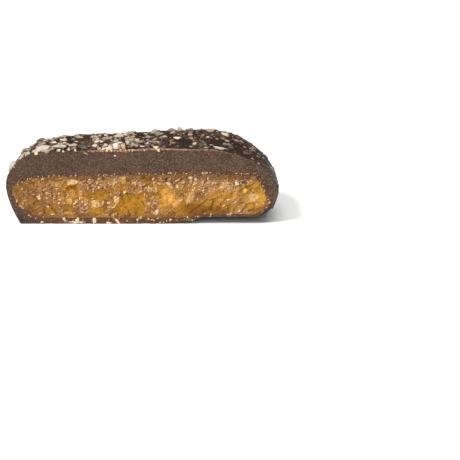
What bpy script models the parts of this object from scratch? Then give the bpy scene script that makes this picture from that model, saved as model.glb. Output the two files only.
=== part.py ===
"""Half a bar of pecan toffee: a slab of nut toffee in a thick coat of dark chocolate, cut to show both.

Metres, +Z up. X runs along the bar, the cut face looks towards -Y, and the bar lies on its flat underside.
The origin is on that underside, below the middle of the piece.
"""

import math
import random
from collections import namedtuple

import bmesh
import bpy
import numpy as np
from mathutils import Matrix, Vector, noise

# Driving dimensions of the bar
HALF_LENGTH = 0.0250
HALF_DEPTH = 0.0162  # from the cut face to the widest line of the back side, at mid length
COAT_TOP = 0.0145
TOFFEE_BOTTOM = 0.0015
TOFFEE_TOP = 0.0094
TOFFEE_HALF_LENGTH = 0.0233
TOFFEE_SHIFT = -0.00025  # its middle lies a little to the left of the bar's
TOFFEE_HALF_DEPTH = 0.0148
CLEARANCE = 0.0003  # between the toffee and the chocolate round it
ORIGIN_DEPTH = 0.0088  # how far the origin lies behind the cut face

# The knife went through a little askew, so the right end is deeper than the left one.
SKEW = 0.085

# The underside is bowed up towards the right end, next to the cut face only, and the coat below it thins.
COAT_BOW, TOFFEE_BOW = 0.0014, 0.0007
BOW_SOFT_SHARE = 0.35  # the share of the rise that comes gently, ahead of the step
BOW_SOFT_FROM, BOW_STEP_FROM, BOW_TO = 0.0030, 0.0088, 0.0110
BOW_DEPTH_FROM, BOW_DEPTH_TO = 0.0030, 0.0090

# Where the vertical sweep of a slab changes from one face to the next, as shares from 0 at the centre of
# the underside to 1 at the centre of the top
FOOT_AT, WIDEST_AT, SHOULDER_AT = 2 / 15, 6 / 15, 12 / 15
FLARE = 1.6  # how quickly the side swells out from the foot

# A side of a slab: how far its foot lies inside the widest line, the height of that line, how far the
# shoulder runs in before the top is level, and the power of the shoulder's superellipse
Side = namedtuple("Side", "foot widest reach power")
Slab = namedtuple("Slab", "shift half_length half_depth bottom bow top_left top_right left right back corner")

COAT = Slab(
    0.0,
    HALF_LENGTH,
    HALF_DEPTH,
    0.0,
    COAT_BOW,
    COAT_TOP - 0.0004,
    COAT_TOP,
    Side(0.0023, 0.0071, 0.0088, 2.0),
    Side(0.0020, 0.0064, 0.0140, 1.8),
    Side(0.0022, 0.0068, 0.0062, 2.0),
    4.2,
)
TOFFEE = Slab(
    TOFFEE_SHIFT,
    TOFFEE_HALF_LENGTH,
    TOFFEE_HALF_DEPTH,
    TOFFEE_BOTTOM,
    TOFFEE_BOW,
    TOFFEE_TOP - 0.0003,
    TOFFEE_TOP,
    Side(0.0033, 0.0066, 0.0085, 1.8),
    Side(0.0026, 0.0041, 0.0027, 1.2),
    Side(0.0020, 0.0052, 0.0040, 1.8),
    5.0,
)

# Facets: stations round the whole plan outline, and rings from the underside to the top
COAT_STATIONS, COAT_RINGS = 64, 30
TOFFEE_STATIONS, TOFFEE_RINGS = 48, 15

# The dipped surface is a little uneven, and it stands a little higher along the back towards the right.
RIPPLE = 0.00016
RIPPLE_SIZE = 0.0065
CROWN = 0.00042
CROWN_FROM, CROWN_FULL, CROWN_FALLING, CROWN_TO = 0.0, 0.006, 0.014, 0.021
CROWN_DEPTH_FROM, CROWN_DEPTH_FULL = 0.0025, 0.0090

# The broken face of the toffee
BREAK_CELL = 0.0010
BREAK_DEPTH = 0.00032
BREAK_MEAN = 0.00020  # how far the face lies behind the cut through the chocolate
BREAK_BACK = 0.0012

# The chip out of the coat's lower corner at the right end: the corners of its outline, along and above
# the underside, at the cut face and where it runs out behind it
CHIP_AT_CUT = ((0.0202, -0.001), (0.0209, 0.00125), (0.0236, 0.0032), (0.0250, 0.0026), (0.0262, -0.001))
CHIP_BEHIND = ((0.0214, -0.001), (0.0220, 0.0000), (0.0234, 0.0007), (0.0246, 0.0005), (0.0258, -0.001))
CHIP_FRONT, CHIP_BACK = -0.001, 0.0042

# Chopped pecans. Each piece that is named here stands where it does on the bar: how far along from the
# middle, how far behind the cut face, its length, width and height, and its turn in degrees.
Nut = namedtuple("Nut", "along behind length width height turn")
EDGE_NUTS = (
    Nut(-0.0237, 0.0010, 0.0018, 0.0013, 0.0013, 80),
    Nut(-0.0219, 0.0009, 0.0013, 0.0011, 0.0009, 20),
    Nut(-0.0207, 0.0010, 0.0018, 0.0013, 0.0011, 75),
    Nut(-0.0182, 0.0012, 0.0034, 0.0018, 0.0017, 8),
    Nut(-0.0176, 0.0004, 0.0025, 0.0009, 0.0009, -6),
    Nut(-0.0155, 0.0020, 0.0029, 0.0015, 0.0014, -10),
    Nut(-0.0189, 0.0046, 0.0022, 0.0014, 0.0010, 40),
    Nut(-0.0179, 0.0066, 0.0009, 0.0007, 0.0009, 10),
    Nut(-0.0162, 0.0080, 0.0016, 0.0012, 0.0009, 30),
    Nut(-0.0149, 0.0068, 0.0017, 0.0012, 0.0008, -30),
    Nut(-0.0128, 0.0034, 0.0020, 0.0012, 0.0008, 5),
    Nut(-0.0124, 0.0086, 0.0022, 0.0014, 0.0008, 0),
    Nut(-0.0123, 0.0013, 0.0015, 0.0010, 0.0011, 60),
    Nut(-0.0107, 0.0024, 0.0021, 0.0013, 0.0009, 15),
    Nut(-0.0086, 0.0026, 0.0013, 0.0010, 0.0008, 15),
    Nut(-0.0085, 0.0050, 0.0014, 0.0011, 0.0009, 40),
    Nut(-0.0069, 0.0004, 0.0007, 0.0007, 0.0007, 0),
    Nut(-0.0058, 0.0006, 0.0012, 0.0010, 0.0012, 60),
    Nut(-0.0045, 0.0011, 0.0015, 0.0012, 0.0014, -15),
    Nut(-0.0032, 0.0005, 0.0011, 0.0007, 0.0019, -12),
    Nut(-0.0070, 0.0074, 0.0024, 0.0017, 0.0011, 30),
    Nut(-0.0048, 0.0088, 0.0022, 0.0015, 0.0010, 10),
    Nut(-0.0027, 0.0068, 0.0024, 0.0016, 0.0013, -12),
    Nut(-0.0008, 0.0046, 0.0021, 0.0013, 0.0008, 25),
    Nut(-0.0015, 0.0026, 0.0017, 0.0010, 0.0007, 0),
    Nut(0.0007, 0.0074, 0.0016, 0.0012, 0.0009, 0),
    Nut(0.0009, 0.0032, 0.0007, 0.0007, 0.0008, 0),
    Nut(0.0027, 0.0005, 0.0013, 0.0012, 0.0009, 0),
    Nut(0.0029, 0.0036, 0.0009, 0.0008, 0.0007, 10),
    Nut(0.0026, 0.0086, 0.0015, 0.0011, 0.0009, -30),
    Nut(0.0038, 0.0066, 0.0014, 0.0009, 0.0006, 5),
    Nut(0.0053, 0.0088, 0.0013, 0.0010, 0.0009, 80),
    Nut(0.0064, 0.0060, 0.0017, 0.0011, 0.0008, 12),
    Nut(0.0088, 0.0062, 0.0016, 0.0011, 0.0007, -35),
    Nut(0.0096, 0.0032, 0.0011, 0.0009, 0.0009, 50),
    Nut(0.0116, 0.0009, 0.0011, 0.0007, 0.0005, 0),
    Nut(0.0144, 0.0012, 0.0029, 0.0012, 0.0008, 4),
    Nut(0.0120, 0.0064, 0.0008, 0.0007, 0.0007, 0),
    Nut(0.0152, 0.0082, 0.0018, 0.0013, 0.0009, -40),
)

# The other pieces are strewn: densely on the shoulders and the top, thinly down the sides. They lie in
# clumps, thinner and finer towards the right end, with patches of bare chocolate between them.
STREWN_NUTS = 165
STREWN_SEED = 11
STREWN_SMALLEST, STREWN_SPREAD, STREWN_SKEW = 0.0011, 0.0019, 2.2
STREWN_GAP = 0.62  # of the two pieces' summed lengths, between their centres
STREWN_CUT_MARGIN = 0.0006
STREWN_TABLE_MARGIN = 0.75  # of a piece's length
STREWN_UP_FROM, STREWN_UP_SPAN = 0.05, 0.76  # above the foot, in shares of the vertical sweep
STREWN_TRIES = 4000
MOST_AREA = 0.0042  # no place has more square metres for each unit of around and up
LEAST_WIDTH, WIDTH_SPREAD = 0.62, 0.25  # of a piece's length
LEAST_HEIGHT, HEIGHT_SPREAD = 0.42, 0.25
SHOULDER_LOW, SHOULDER_HIGH = 0.0085, 0.0125
SIDE_DENSITY = 0.06
CLUMP_SIZE, CLUMP_MEAN, CLUMP_SWING, CLUMP_LEAST = 0.0045, 0.80, 0.9, 0.15
THIN_FROM, THIN_TO, THIN_SHARE = -0.002, 0.005, 0.68
FINE_FROM, FINE_TO, FINE_SHARE = -0.004, 0.004, 0.34
Patch = namedtuple("Patch", "along behind long wide")
BARE_SHARE, BARE_CORE, BARE_EDGE = 0.92, 0.55, 1.25
BARE_PATCHES = (
    Patch(-0.0106, 0.0064, 0.0026, 0.0018),
    Patch(-0.0136, 0.0054, 0.0014, 0.0010),
    Patch(-0.0017, 0.0019, 0.0017, 0.0013),
    Patch(-0.0006, 0.0084, 0.0020, 0.0014),
    Patch(0.0044, 0.0019, 0.0020, 0.0009),
    Patch(0.0080, 0.0046, 0.0017, 0.0011),
    Patch(0.0134, 0.0044, 0.0022, 0.0015),
    Patch(0.0094, 0.0009, 0.0016, 0.0008),
)
NUT_SUNK = 0.12  # of its height, that a piece's centre lies below the chocolate
NUT_JITTER = 0.17

# Pecans inside the toffee that show at the break: along, above the underside, length, height, turn
Bit = namedtuple("Bit", "along above length height turn")
INNER_NUTS = (
    Bit(-0.01275, 0.0080, 0.0026, 0.0013, 4),
    Bit(-0.01270, 0.0058, 0.0020, 0.0020, 0),
    Bit(-0.00860, 0.0040, 0.0017, 0.0014, -12),
    Bit(-0.01910, 0.0050, 0.0009, 0.0009, 30),
    Bit(-0.00350, 0.0084, 0.0013, 0.0018, 0),
    Bit(-0.00480, 0.0047, 0.0011, 0.0018, 10),
    Bit(0.00110, 0.0067, 0.0017, 0.0015, 20),
    Bit(0.00520, 0.0049, 0.0021, 0.0029, -10),
    Bit(0.00870, 0.0049, 0.0020, 0.0024, 0),
    Bit(0.01740, 0.0079, 0.0009, 0.0009, 0),
    Bit(0.02040, 0.0049, 0.0021, 0.0020, 15),
    Bit(0.00250, 0.0022, 0.0009, 0.0010, 40),
)
INNER_NUT_DEPTH = 0.0014
INNER_NUT_PROUD = 0.00035
NUT_SEED = 5


def clear_scene():
    """Removes what the startup file holds."""
    for obj in list(bpy.data.objects):
        bpy.data.objects.remove(obj)


def collection_named(name):
    """A new collection in the scene."""
    made = bpy.data.collections.new(name)
    bpy.context.scene.collection.children.link(made)
    return made


def material(name, colour, roughness):
    """A plain Principled material."""
    made = bpy.data.materials.new(name)
    made.use_nodes = True
    shader = made.node_tree.nodes["Principled BSDF"]
    shader.inputs["Base Color"].default_value = (*colour, 1.0)
    shader.inputs["Roughness"].default_value = roughness
    shader.inputs["Metallic"].default_value = 0.0
    made.diffuse_color = (*colour, 1.0)
    return made


def ramp(value, start, end):
    """0 before start, 1 after end, and a smooth rise between."""
    share = min(1.0, max(0.0, (value - start) / (end - start)))
    return share * share * (3 - 2 * share)


def bow(along, behind):
    """The share, from 0 to 1, of the underside's rise at that place."""
    gentle = BOW_SOFT_SHARE * ramp(along, BOW_SOFT_FROM, BOW_STEP_FROM)
    step = (1 - BOW_SOFT_SHARE) * ramp(along, BOW_STEP_FROM, BOW_TO)
    near_cut = 1 - ramp(abs(behind), BOW_DEPTH_FROM, BOW_DEPTH_TO)
    return (gentle + step) * near_cut


def outline_of(slab):
    """The plan outline, a superellipse with half sides of 1, at even steps along its real length."""
    turn = np.linspace(0, 2 * np.pi, 2401)
    x = np.sign(np.cos(turn)) * np.abs(np.cos(turn)) ** (2 / slab.corner)
    y = np.sign(np.sin(turn)) * np.abs(np.sin(turn)) ** (2 / slab.corner)
    steps = np.hypot(np.diff(x) * slab.half_length, np.diff(y) * slab.half_depth)
    along = np.concatenate([[0], np.cumsum(steps)])
    return along / along[-1], x, y


def side_profile(side, bottom, top, up):
    """(how far inside the widest line, height) of one side, for an up between the foot and the top."""
    if up <= WIDEST_AT:
        rise = max(0.0, (up - FOOT_AT) / (WIDEST_AT - FOOT_AT))
        return side.foot * (1 - rise) ** FLARE, bottom + (side.widest - bottom) * rise
    turn = min(1.0, (up - WIDEST_AT) / (SHOULDER_AT - WIDEST_AT)) * math.pi / 2
    inset = side.reach * (1 - math.cos(turn) ** (2 / side.power))
    return inset, side.widest + (top - side.widest) * math.sin(turn) ** (2 / side.power)


def slab_point(slab, outline, around, up):
    """A point of the slab's surface. around runs from 0 at the right end, by the back, to 0.5 at the left."""
    steps, plan_x, plan_y = outline
    px = float(np.interp(around % 1.0, steps, plan_x))
    py = float(np.interp(around % 1.0, steps, plan_y))
    end = slab.right if px > 0 else slab.left
    end = end._replace(reach=end.reach + (slab.back.reach - end.reach) * py * py)
    flat_share = 1.0
    if up < FOOT_AT:
        flat_share = up / FOOT_AT
    elif up > SHOULDER_AT:
        flat_share = (1 - up) / (1 - SHOULDER_AT)
    level_side = min(max(up, FOOT_AT), SHOULDER_AT)
    top = slab.top_left + (slab.top_right - slab.top_left) * ramp(px * flat_share, -0.8, 0.2)
    end_inset, end_height = side_profile(end, slab.bottom, top, level_side)
    back_inset, back_height = side_profile(slab.back, slab.bottom, top, level_side)
    x = slab.shift + (slab.half_length - end_inset) * px * flat_share
    y = (slab.half_depth - back_inset) * py * flat_share
    y *= 1 + SKEW * x / slab.half_length
    end_weight = abs(px) ** 4
    height = end_height * end_weight + back_height * (1 - end_weight)
    low_share = 1 - min(1.0, (height - slab.bottom) / (end.widest - slab.bottom))
    lift = slab.bow * bow(x, y) * low_share
    return Vector((x, y, height + lift))


def rippled(point, widest):
    """The point, moved up or down as the dipped chocolate is uneven above its widest line."""
    share = ramp(point.z, widest, widest + 0.004)
    wave = noise.noise(Vector((point.x, point.y, 0.0)) / RIPPLE_SIZE)
    crown = ramp(point.x, CROWN_FROM, CROWN_FULL) * (1 - ramp(point.x, CROWN_FALLING, CROWN_TO))
    crown *= ramp(point.y, CROWN_DEPTH_FROM, CROWN_DEPTH_FULL)
    return point + Vector((0, 0, (RIPPLE * wave + CROWN * crown) * share))


def slab_mesh(name, slab, stations, rings, front):
    """The slab from its back side to the plane y = front, as a closed mesh made from a sphere."""
    outline = outline_of(slab)
    form = bmesh.new()
    bmesh.ops.create_uvsphere(form, u_segments=stations, v_segments=rings, radius=1.0)
    for vertex in form.verts:
        around = math.atan2(vertex.co.y, vertex.co.x) / (2 * math.pi)
        up = 1 - math.acos(max(-1.0, min(1.0, vertex.co.z))) / math.pi
        vertex.co = slab_point(slab, outline, around, up)
        if slab is COAT:
            vertex.co = rippled(vertex.co, slab.back.widest)
    whole = form.verts[:] + form.edges[:] + form.faces[:]
    cut = bmesh.ops.bisect_plane(
        form, geom=whole, dist=1e-7, plane_co=(0, front, 0), plane_no=(0, 1, 0), clear_inner=True
    )
    rim = [part for part in cut["geom_cut"] if isinstance(part, bmesh.types.BMEdge)]
    bmesh.ops.holes_fill(form, edges=rim, sides=0)
    bmesh.ops.recalc_face_normals(form, faces=form.faces[:])
    made = bpy.data.meshes.new(name)
    form.to_mesh(made)
    form.free()
    return made


def grown(slab, by):
    """The slab with every face moved out by the same amount."""
    return slab._replace(
        half_length=slab.half_length + by,
        half_depth=slab.half_depth + by,
        bottom=slab.bottom - by,
        top_left=slab.top_left + by,
        top_right=slab.top_right + by,
    )


def add_object(name, mesh, collection, parent, finish=None):
    """An object for the mesh, below the bar's empty."""
    obj = bpy.data.objects.new(name, mesh)
    collection.objects.link(obj)
    obj.parent = parent
    if finish:
        mesh.materials.append(finish)
    return obj


def make_cutter(obj):
    """Marks an object as a helper that isn't part of the bar."""
    obj.hide_render = True
    obj.display_type = "WIRE"


def pebble(name, radii, placing, draw):
    """A chopped piece of nut: a coarse ball, squashed and made uneven, placed by a matrix."""
    form = bmesh.new()
    bmesh.ops.create_icosphere(form, subdivisions=1, radius=1.0)
    for vertex in form.verts:
        grow = 1 + NUT_JITTER * (2 * draw.random() - 1)
        vertex.co = Vector(radii) * grow * vertex.co
        vertex.co = placing @ vertex.co
    bmesh.ops.recalc_face_normals(form, faces=form.faces[:])
    made = bpy.data.meshes.new(name)
    form.to_mesh(made)
    form.free()
    return made


def chip_mesh():
    """The wedge that takes the chip out."""
    form = bmesh.new()
    for depth, outline in ((CHIP_FRONT, CHIP_AT_CUT), (0.0, CHIP_AT_CUT), (CHIP_BACK, CHIP_BEHIND)):
        for along, above in outline:
            form.verts.new((along, depth, above))
    bmesh.ops.convex_hull(form, input=form.verts[:])
    bmesh.ops.recalc_face_normals(form, faces=form.faces[:])
    made = bpy.data.meshes.new("chip")
    form.to_mesh(made)
    form.free()
    return made


def standing_on(point, normal, turn):
    """The matrix that stands a piece on a surface, its length along the bar but for the turn."""
    sideways = Vector((1, 0, 0)) if abs(normal.x) < 0.9 else Vector((0, 0, 1))
    across = normal.cross(sideways).normalized()
    upright = Matrix((across.cross(normal), across, normal)).transposed().to_4x4()
    return Matrix.Translation(point) @ upright @ Matrix.Rotation(turn, 4, "Z")


def coat_point(outline, around, up):
    """A point of the coat's outside."""
    return rippled(slab_point(COAT, outline, around, up), COAT.back.widest)


def coat_frame(outline, around, up):
    """(point, outward normal, area for each unit of around and up) of the coat's outside."""
    step = 0.002
    across = coat_point(outline, around + step, up) - coat_point(outline, around - step, up)
    rise = coat_point(outline, around, up + step) - coat_point(outline, around, up - step)
    normal = across.cross(rise)
    area = normal.length / (4 * step * step)
    return coat_point(outline, around, up), normal.normalized(), area


def upper_side(outline):
    """A net of (place on the plan, around, up) over the coat's upper side."""
    net = []
    for i in range(61):
        for j in range(40):
            around, up = i / 120, WIDEST_AT + 0.02 + j * (0.97 - WIDEST_AT) / 40
            net.append((coat_point(outline, around, up).xy, around, up))
    return net


def on_top(outline, net, along, behind):
    """(point, normal) of the coat's upper side above a place on its plan, by narrowing down."""
    place = Vector((along, behind))
    _, around, up = min(net, key=lambda knot: (knot[0] - place).length)
    step = 0.01
    for _ in range(12):
        tries = [(around + a * step, up + b * step) for a in (-1, 0, 1) for b in (-1, 0, 1)]
        around, up = min(tries, key=lambda t: (coat_point(outline, *t).xy - place).length)
        step *= 0.6
    point, normal, _ = coat_frame(outline, around, up)
    return point, normal


def bare_share(patch, point):
    """How much of a place the bare patch has, from 0 to 1."""
    away = math.hypot((point.x - patch.along) / patch.long, (point.y - patch.behind) / patch.wide)
    return 1 - ramp(away, BARE_CORE, BARE_EDGE)


def nut_density(point):
    """How thickly the chopped nuts lie there, from 0 to 1."""
    wave = noise.noise(Vector((point.x, point.y, 0.0)) / CLUMP_SIZE)
    clumped = min(1.0, max(CLUMP_LEAST, CLUMP_MEAN + CLUMP_SWING * wave))
    sparse = 1 - THIN_SHARE * ramp(point.x, THIN_FROM, THIN_TO)
    sparse *= 1 - BARE_SHARE * max(bare_share(patch, point) for patch in BARE_PATCHES)
    on_shoulder = ramp(point.z, SHOULDER_LOW, SHOULDER_HIGH)
    return SIDE_DENSITY + (1 - SIDE_DENSITY) * on_shoulder * sparse * clumped


def strewn_nuts(outline, taken):
    """(point, normal, length, width, height, turn) of each strewn piece, the largest first, clear of those
    taken."""
    draw = random.Random(STREWN_SEED)
    lengths = [
        STREWN_SMALLEST + STREWN_SPREAD * draw.random() ** STREWN_SKEW for _ in range(STREWN_NUTS)
    ]
    placed = []
    for length in sorted(lengths, reverse=True):
        for _ in range(STREWN_TRIES):
            around = draw.random() / 2
            up = FOOT_AT + STREWN_UP_FROM + draw.random() * STREWN_UP_SPAN
            keep = draw.random() * MOST_AREA
            point, normal, area = coat_frame(outline, around, up)
            crowded = any(
                (point - other).length < STREWN_GAP * (length + size) for other, size in taken
            )
            off_cut = point.y > STREWN_CUT_MARGIN + length / 2
            above_table = point.z > length * STREWN_TABLE_MARGIN
            if keep < area * nut_density(point) and off_cut and above_table and not crowded:
                shown = length * (1 - FINE_SHARE * ramp(point.x, FINE_FROM, FINE_TO))
                width = shown * (LEAST_WIDTH + WIDTH_SPREAD * draw.random())
                height = shown * (LEAST_HEIGHT + HEIGHT_SPREAD * draw.random())
                placed.append((point, normal, shown, width, height, draw.random() * 2 * math.pi))
                taken.append((point, length))
                break
    return placed


def make_coat(bar, cutters, toppings, root):
    """The chocolate coat with the chopped pecans on it, its cavity and its chip, as one solid."""
    chocolate = material("dark_chocolate", (0.062, 0.036, 0.024), 0.38)
    body = slab_mesh("chocolate_coat", COAT, COAT_STATIONS, COAT_RINGS, 0.0)
    coat = add_object("chocolate_coat", body, bar, root, chocolate)
    draw = random.Random(NUT_SEED)
    outline = outline_of(COAT)
    net = upper_side(outline)
    taken = []
    for i, nut in enumerate(EDGE_NUTS):
        point, normal = on_top(outline, net, nut.along, nut.behind)
        taken.append((point, nut.length))
        sunk = point - normal * nut.height * NUT_SUNK
        placing = standing_on(sunk, normal, math.radians(nut.turn))
        radii = (nut.length / 2, nut.width / 2, nut.height / 2)
        add_object(f"edge_nut_{i}", pebble(f"edge_nut_{i}", radii, placing, draw), toppings, root)
    for i, (point, normal, length, width, height, turn) in enumerate(strewn_nuts(outline, taken)):
        placing = standing_on(point - normal * height * NUT_SUNK, normal, turn)
        radii = (length / 2, width / 2, height / 2)
        add_object(f"nut_{i}", pebble(f"nut_{i}", radii, placing, draw), toppings, root)
    join_toppings(coat, toppings)
    cavity = slab_mesh(
        "cavity", grown(TOFFEE, CLEARANCE), TOFFEE_STATIONS, TOFFEE_RINGS, -3 * BREAK_BACK
    )
    hollow = add_object("cavity", cavity, cutters, root)
    chip = add_object("chip", chip_mesh(), cutters, root)
    for name, cutter in (("toffee cavity", hollow), ("chipped foot", chip)):
        make_cutter(cutter)
        cut = coat.modifiers.new(name, "BOOLEAN")
        cut.operation = "DIFFERENCE"
        cut.solver = "EXACT"
        cut.object = cutter
    return coat


def join_toppings(obj, toppings):
    """Fuses a collection of small pieces to the object, and removes them."""
    fuse = obj.modifiers.new("toppings", "BOOLEAN")
    fuse.operation = "UNION"
    fuse.solver = "EXACT"
    fuse.operand_type = "COLLECTION"
    fuse.collection = toppings
    bpy.context.view_layer.update()
    graph = bpy.context.evaluated_depsgraph_get()
    fused = bpy.data.meshes.new_from_object(obj.evaluated_get(graph))
    obj.modifiers.clear()
    obj.data = fused
    for piece in list(toppings.objects):
        bpy.data.objects.remove(piece)


def break_cutter(cutters, root):
    """The block that leaves the toffee's broken face: a box whose far side is rough."""
    width, height = 2 * HALF_LENGTH + 0.004, COAT_TOP + 0.004
    form = bmesh.new()
    bmesh.ops.create_grid(
        form,
        x_segments=round(width / BREAK_CELL),
        y_segments=round(height / BREAK_CELL),
        size=0.5,
    )
    for vertex in form.verts:
        x = vertex.co.x * width
        z = vertex.co.y * height + height / 2 - 0.002
        crag = noise.noise(Vector((x, 0.0, z)) / (2.3 * BREAK_CELL))
        crag += 0.6 * noise.cell(Vector((x, 0.0, z)) / (1.9 * BREAK_CELL))
        vertex.co = Vector((x, BREAK_MEAN + BREAK_DEPTH * crag, z))
    far_side = form.faces[:]
    pulled = bmesh.ops.extrude_face_region(form, geom=far_side)
    for part in pulled["geom"]:
        if isinstance(part, bmesh.types.BMVert):
            part.co.y = -4 * BREAK_BACK
    bmesh.ops.recalc_face_normals(form, faces=form.faces[:])
    made = bpy.data.meshes.new("break")
    form.to_mesh(made)
    form.free()
    cutter = add_object("break", made, cutters, root)
    make_cutter(cutter)
    return cutter


def make_toffee(bar, cutters, toppings, root):
    """The slab of toffee, broken rough at the cut, with the nuts that show there."""
    amber = material("toffee", (0.43, 0.19, 0.045), 0.42)
    body = slab_mesh("toffee_core", TOFFEE, TOFFEE_STATIONS, TOFFEE_RINGS, -BREAK_BACK)
    toffee = add_object("toffee_core", body, bar, root, amber)
    snap = toffee.modifiers.new("broken face", "BOOLEAN")
    snap.operation = "DIFFERENCE"
    snap.solver = "EXACT"
    snap.object = break_cutter(cutters, root)
    draw = random.Random(NUT_SEED + 1)
    for i, bit in enumerate(INNER_NUTS):
        radii = (bit.length / 2, INNER_NUT_DEPTH / 2, bit.height / 2)
        centre = Vector((bit.along, BREAK_MEAN + INNER_NUT_DEPTH / 2 - INNER_NUT_PROUD, bit.above))
        placing = Matrix.Translation(centre) @ Matrix.Rotation(math.radians(-bit.turn), 4, "Y")
        add_object(f"bit_{i}", pebble(f"bit_{i}", radii, placing, draw), toppings, root)
    join_toppings(toffee, toppings)
    return toffee


def main():
    """Builds the bar."""
    clear_scene()
    bar = collection_named("pecan_toffee")
    cutters = collection_named("cutters")
    root = bpy.data.objects.new("bar_frame", None)
    bar.objects.link(root)
    root.location = (0, -ORIGIN_DEPTH, 0)
    coat = make_coat(bar, cutters, collection_named("pecans"), root)
    toffee = make_toffee(bar, cutters, collection_named("inner_pecans"), root)
    for obj in (coat, toffee):
        obj.data.shade_smooth()
        obj.data.set_sharp_from_angle(angle=math.radians(35))


main()
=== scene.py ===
"""Half a bar of pecan toffee, dressed: chocolate, broken toffee and chopped pecans.

The bar lies on its flat underside with its cut face towards -Y. Places on it are given as (along, behind,
above): along the bar from its middle, behind the cut face, and above the underside, all in metres.
"""
import logging
import math
import random
from collections.abc import Callable, Iterator
from contextlib import contextmanager
from dataclasses import dataclass, field, replace
from enum import Enum
from functools import cached_property

import bpy
import numpy as np
from mathutils import Matrix, Vector, noise


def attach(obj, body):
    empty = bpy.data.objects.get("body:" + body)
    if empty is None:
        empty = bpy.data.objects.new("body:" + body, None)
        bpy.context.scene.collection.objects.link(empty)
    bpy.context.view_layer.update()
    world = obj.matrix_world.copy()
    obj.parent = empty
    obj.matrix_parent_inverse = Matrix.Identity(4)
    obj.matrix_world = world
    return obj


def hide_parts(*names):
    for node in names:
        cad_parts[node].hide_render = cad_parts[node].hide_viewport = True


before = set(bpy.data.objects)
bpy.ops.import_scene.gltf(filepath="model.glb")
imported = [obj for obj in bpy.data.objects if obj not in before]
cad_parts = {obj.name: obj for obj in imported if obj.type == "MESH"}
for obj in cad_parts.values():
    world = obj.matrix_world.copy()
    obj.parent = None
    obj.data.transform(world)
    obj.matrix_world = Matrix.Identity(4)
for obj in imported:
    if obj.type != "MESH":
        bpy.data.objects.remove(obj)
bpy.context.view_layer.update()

LOG = logging.getLogger("pecan_toffee")
MM = 0.001
NOISE_SEED = 8
ORIGIN_DEPTH = 8.8 * MM
TO_FRAME = Vector((0.0, -ORIGIN_DEPTH, 0.0))
GRAIN_LEAN = 38
GRAIN_FROM, GRAIN_TO = 6 * MM, 11 * MM
Socket = bpy.types.NodeSocket


# ---- workshop tools


def linear(red: float, green: float, blue: float) -> tuple[float, float, float, float]:
    """Turns an sRGB colour of 0 to 255 into Blender's linear one, with an alpha of 1."""

    def one(value: float) -> float:
        share = value / 255
        return share / 12.92 if share <= 0.04045 else ((share + 0.055) / 1.055) ** 2.4

    return one(red), one(green), one(blue), 1.0


def ramp(value: float, start: float, end: float) -> float:
    """Rises smoothly from 0 at start to 1 at end."""
    share = min(1.0, max(0.0, (value - start) / (end - start)))
    return share * share * (3 - 2 * share)


def ramp_mm(value: float, start: float, end: float) -> float:
    """Rises smoothly from 0 at start to 1 at end, both in millimetres."""
    return ramp(value, start * MM, end * MM)


def pick_only(*objects: bpy.types.Object) -> None:
    """Selects these objects and nothing else, and makes the first one active."""
    if bpy.context.mode != "OBJECT":
        bpy.ops.object.mode_set(mode="OBJECT")
    bpy.ops.object.select_all(action="DESELECT")
    for obj in objects:
        obj.select_set(True)
    bpy.context.view_layer.objects.active = objects[0]


def carve(obj: bpy.types.Object, cutter: bpy.types.Object) -> None:
    """Takes the cutter's shape out of the object, and removes the cutter."""
    cut = obj.modifiers.new(cutter.name, "BOOLEAN")
    cut.operation, cut.solver, cut.object = "DIFFERENCE", "EXACT", cutter
    pick_only(obj)
    bpy.ops.object.modifier_apply(modifier=cut.name)
    bpy.data.objects.remove(cutter)


@contextmanager
def editing(obj: bpy.types.Object) -> Iterator[None]:
    """Opens a mesh for editing with all of it selected, and turns its faces outwards at the end."""
    pick_only(obj)
    bpy.ops.object.mode_set(mode="EDIT")
    bpy.ops.mesh.select_all(action="SELECT")
    yield
    bpy.ops.mesh.select_all(action="SELECT")
    bpy.ops.mesh.normals_make_consistent(inside=False)
    bpy.ops.object.mode_set(mode="OBJECT")


def saw_off_front(obj: bpy.types.Object, plane_y: float) -> None:
    """Cuts the object off at a plane across the bar and closes the cut."""
    with editing(obj):
        bpy.ops.mesh.bisect(
            plane_co=(0, plane_y, 0), plane_no=(0, 1, 0), use_fill=True, clear_inner=True, threshold=1e-7
        )


def shade(obj: bpy.types.Object, degrees: float) -> None:
    """Shades the object smooth, with edges sharper than this angle left crisp."""
    pick_only(obj)
    bpy.ops.object.shade_smooth_by_angle(angle=math.radians(degrees))


def move_points(obj: bpy.types.Object, change: Callable[[Vector], Vector]) -> None:
    """Puts each point of a mesh where change(point) says."""
    for vertex in obj.data.vertices:
        vertex.co = change(vertex.co.copy())
    obj.data.update()


def store(obj: bpy.types.Object, marks: dict[str, list[float]]) -> None:
    """Stores numbers for each point of a mesh under their names, for its finish to read."""
    for name, values in marks.items():
        obj.data.attributes.new(name, "FLOAT", "POINT").data.foreach_set("value", values)


# ---- the bar's own shape


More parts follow.
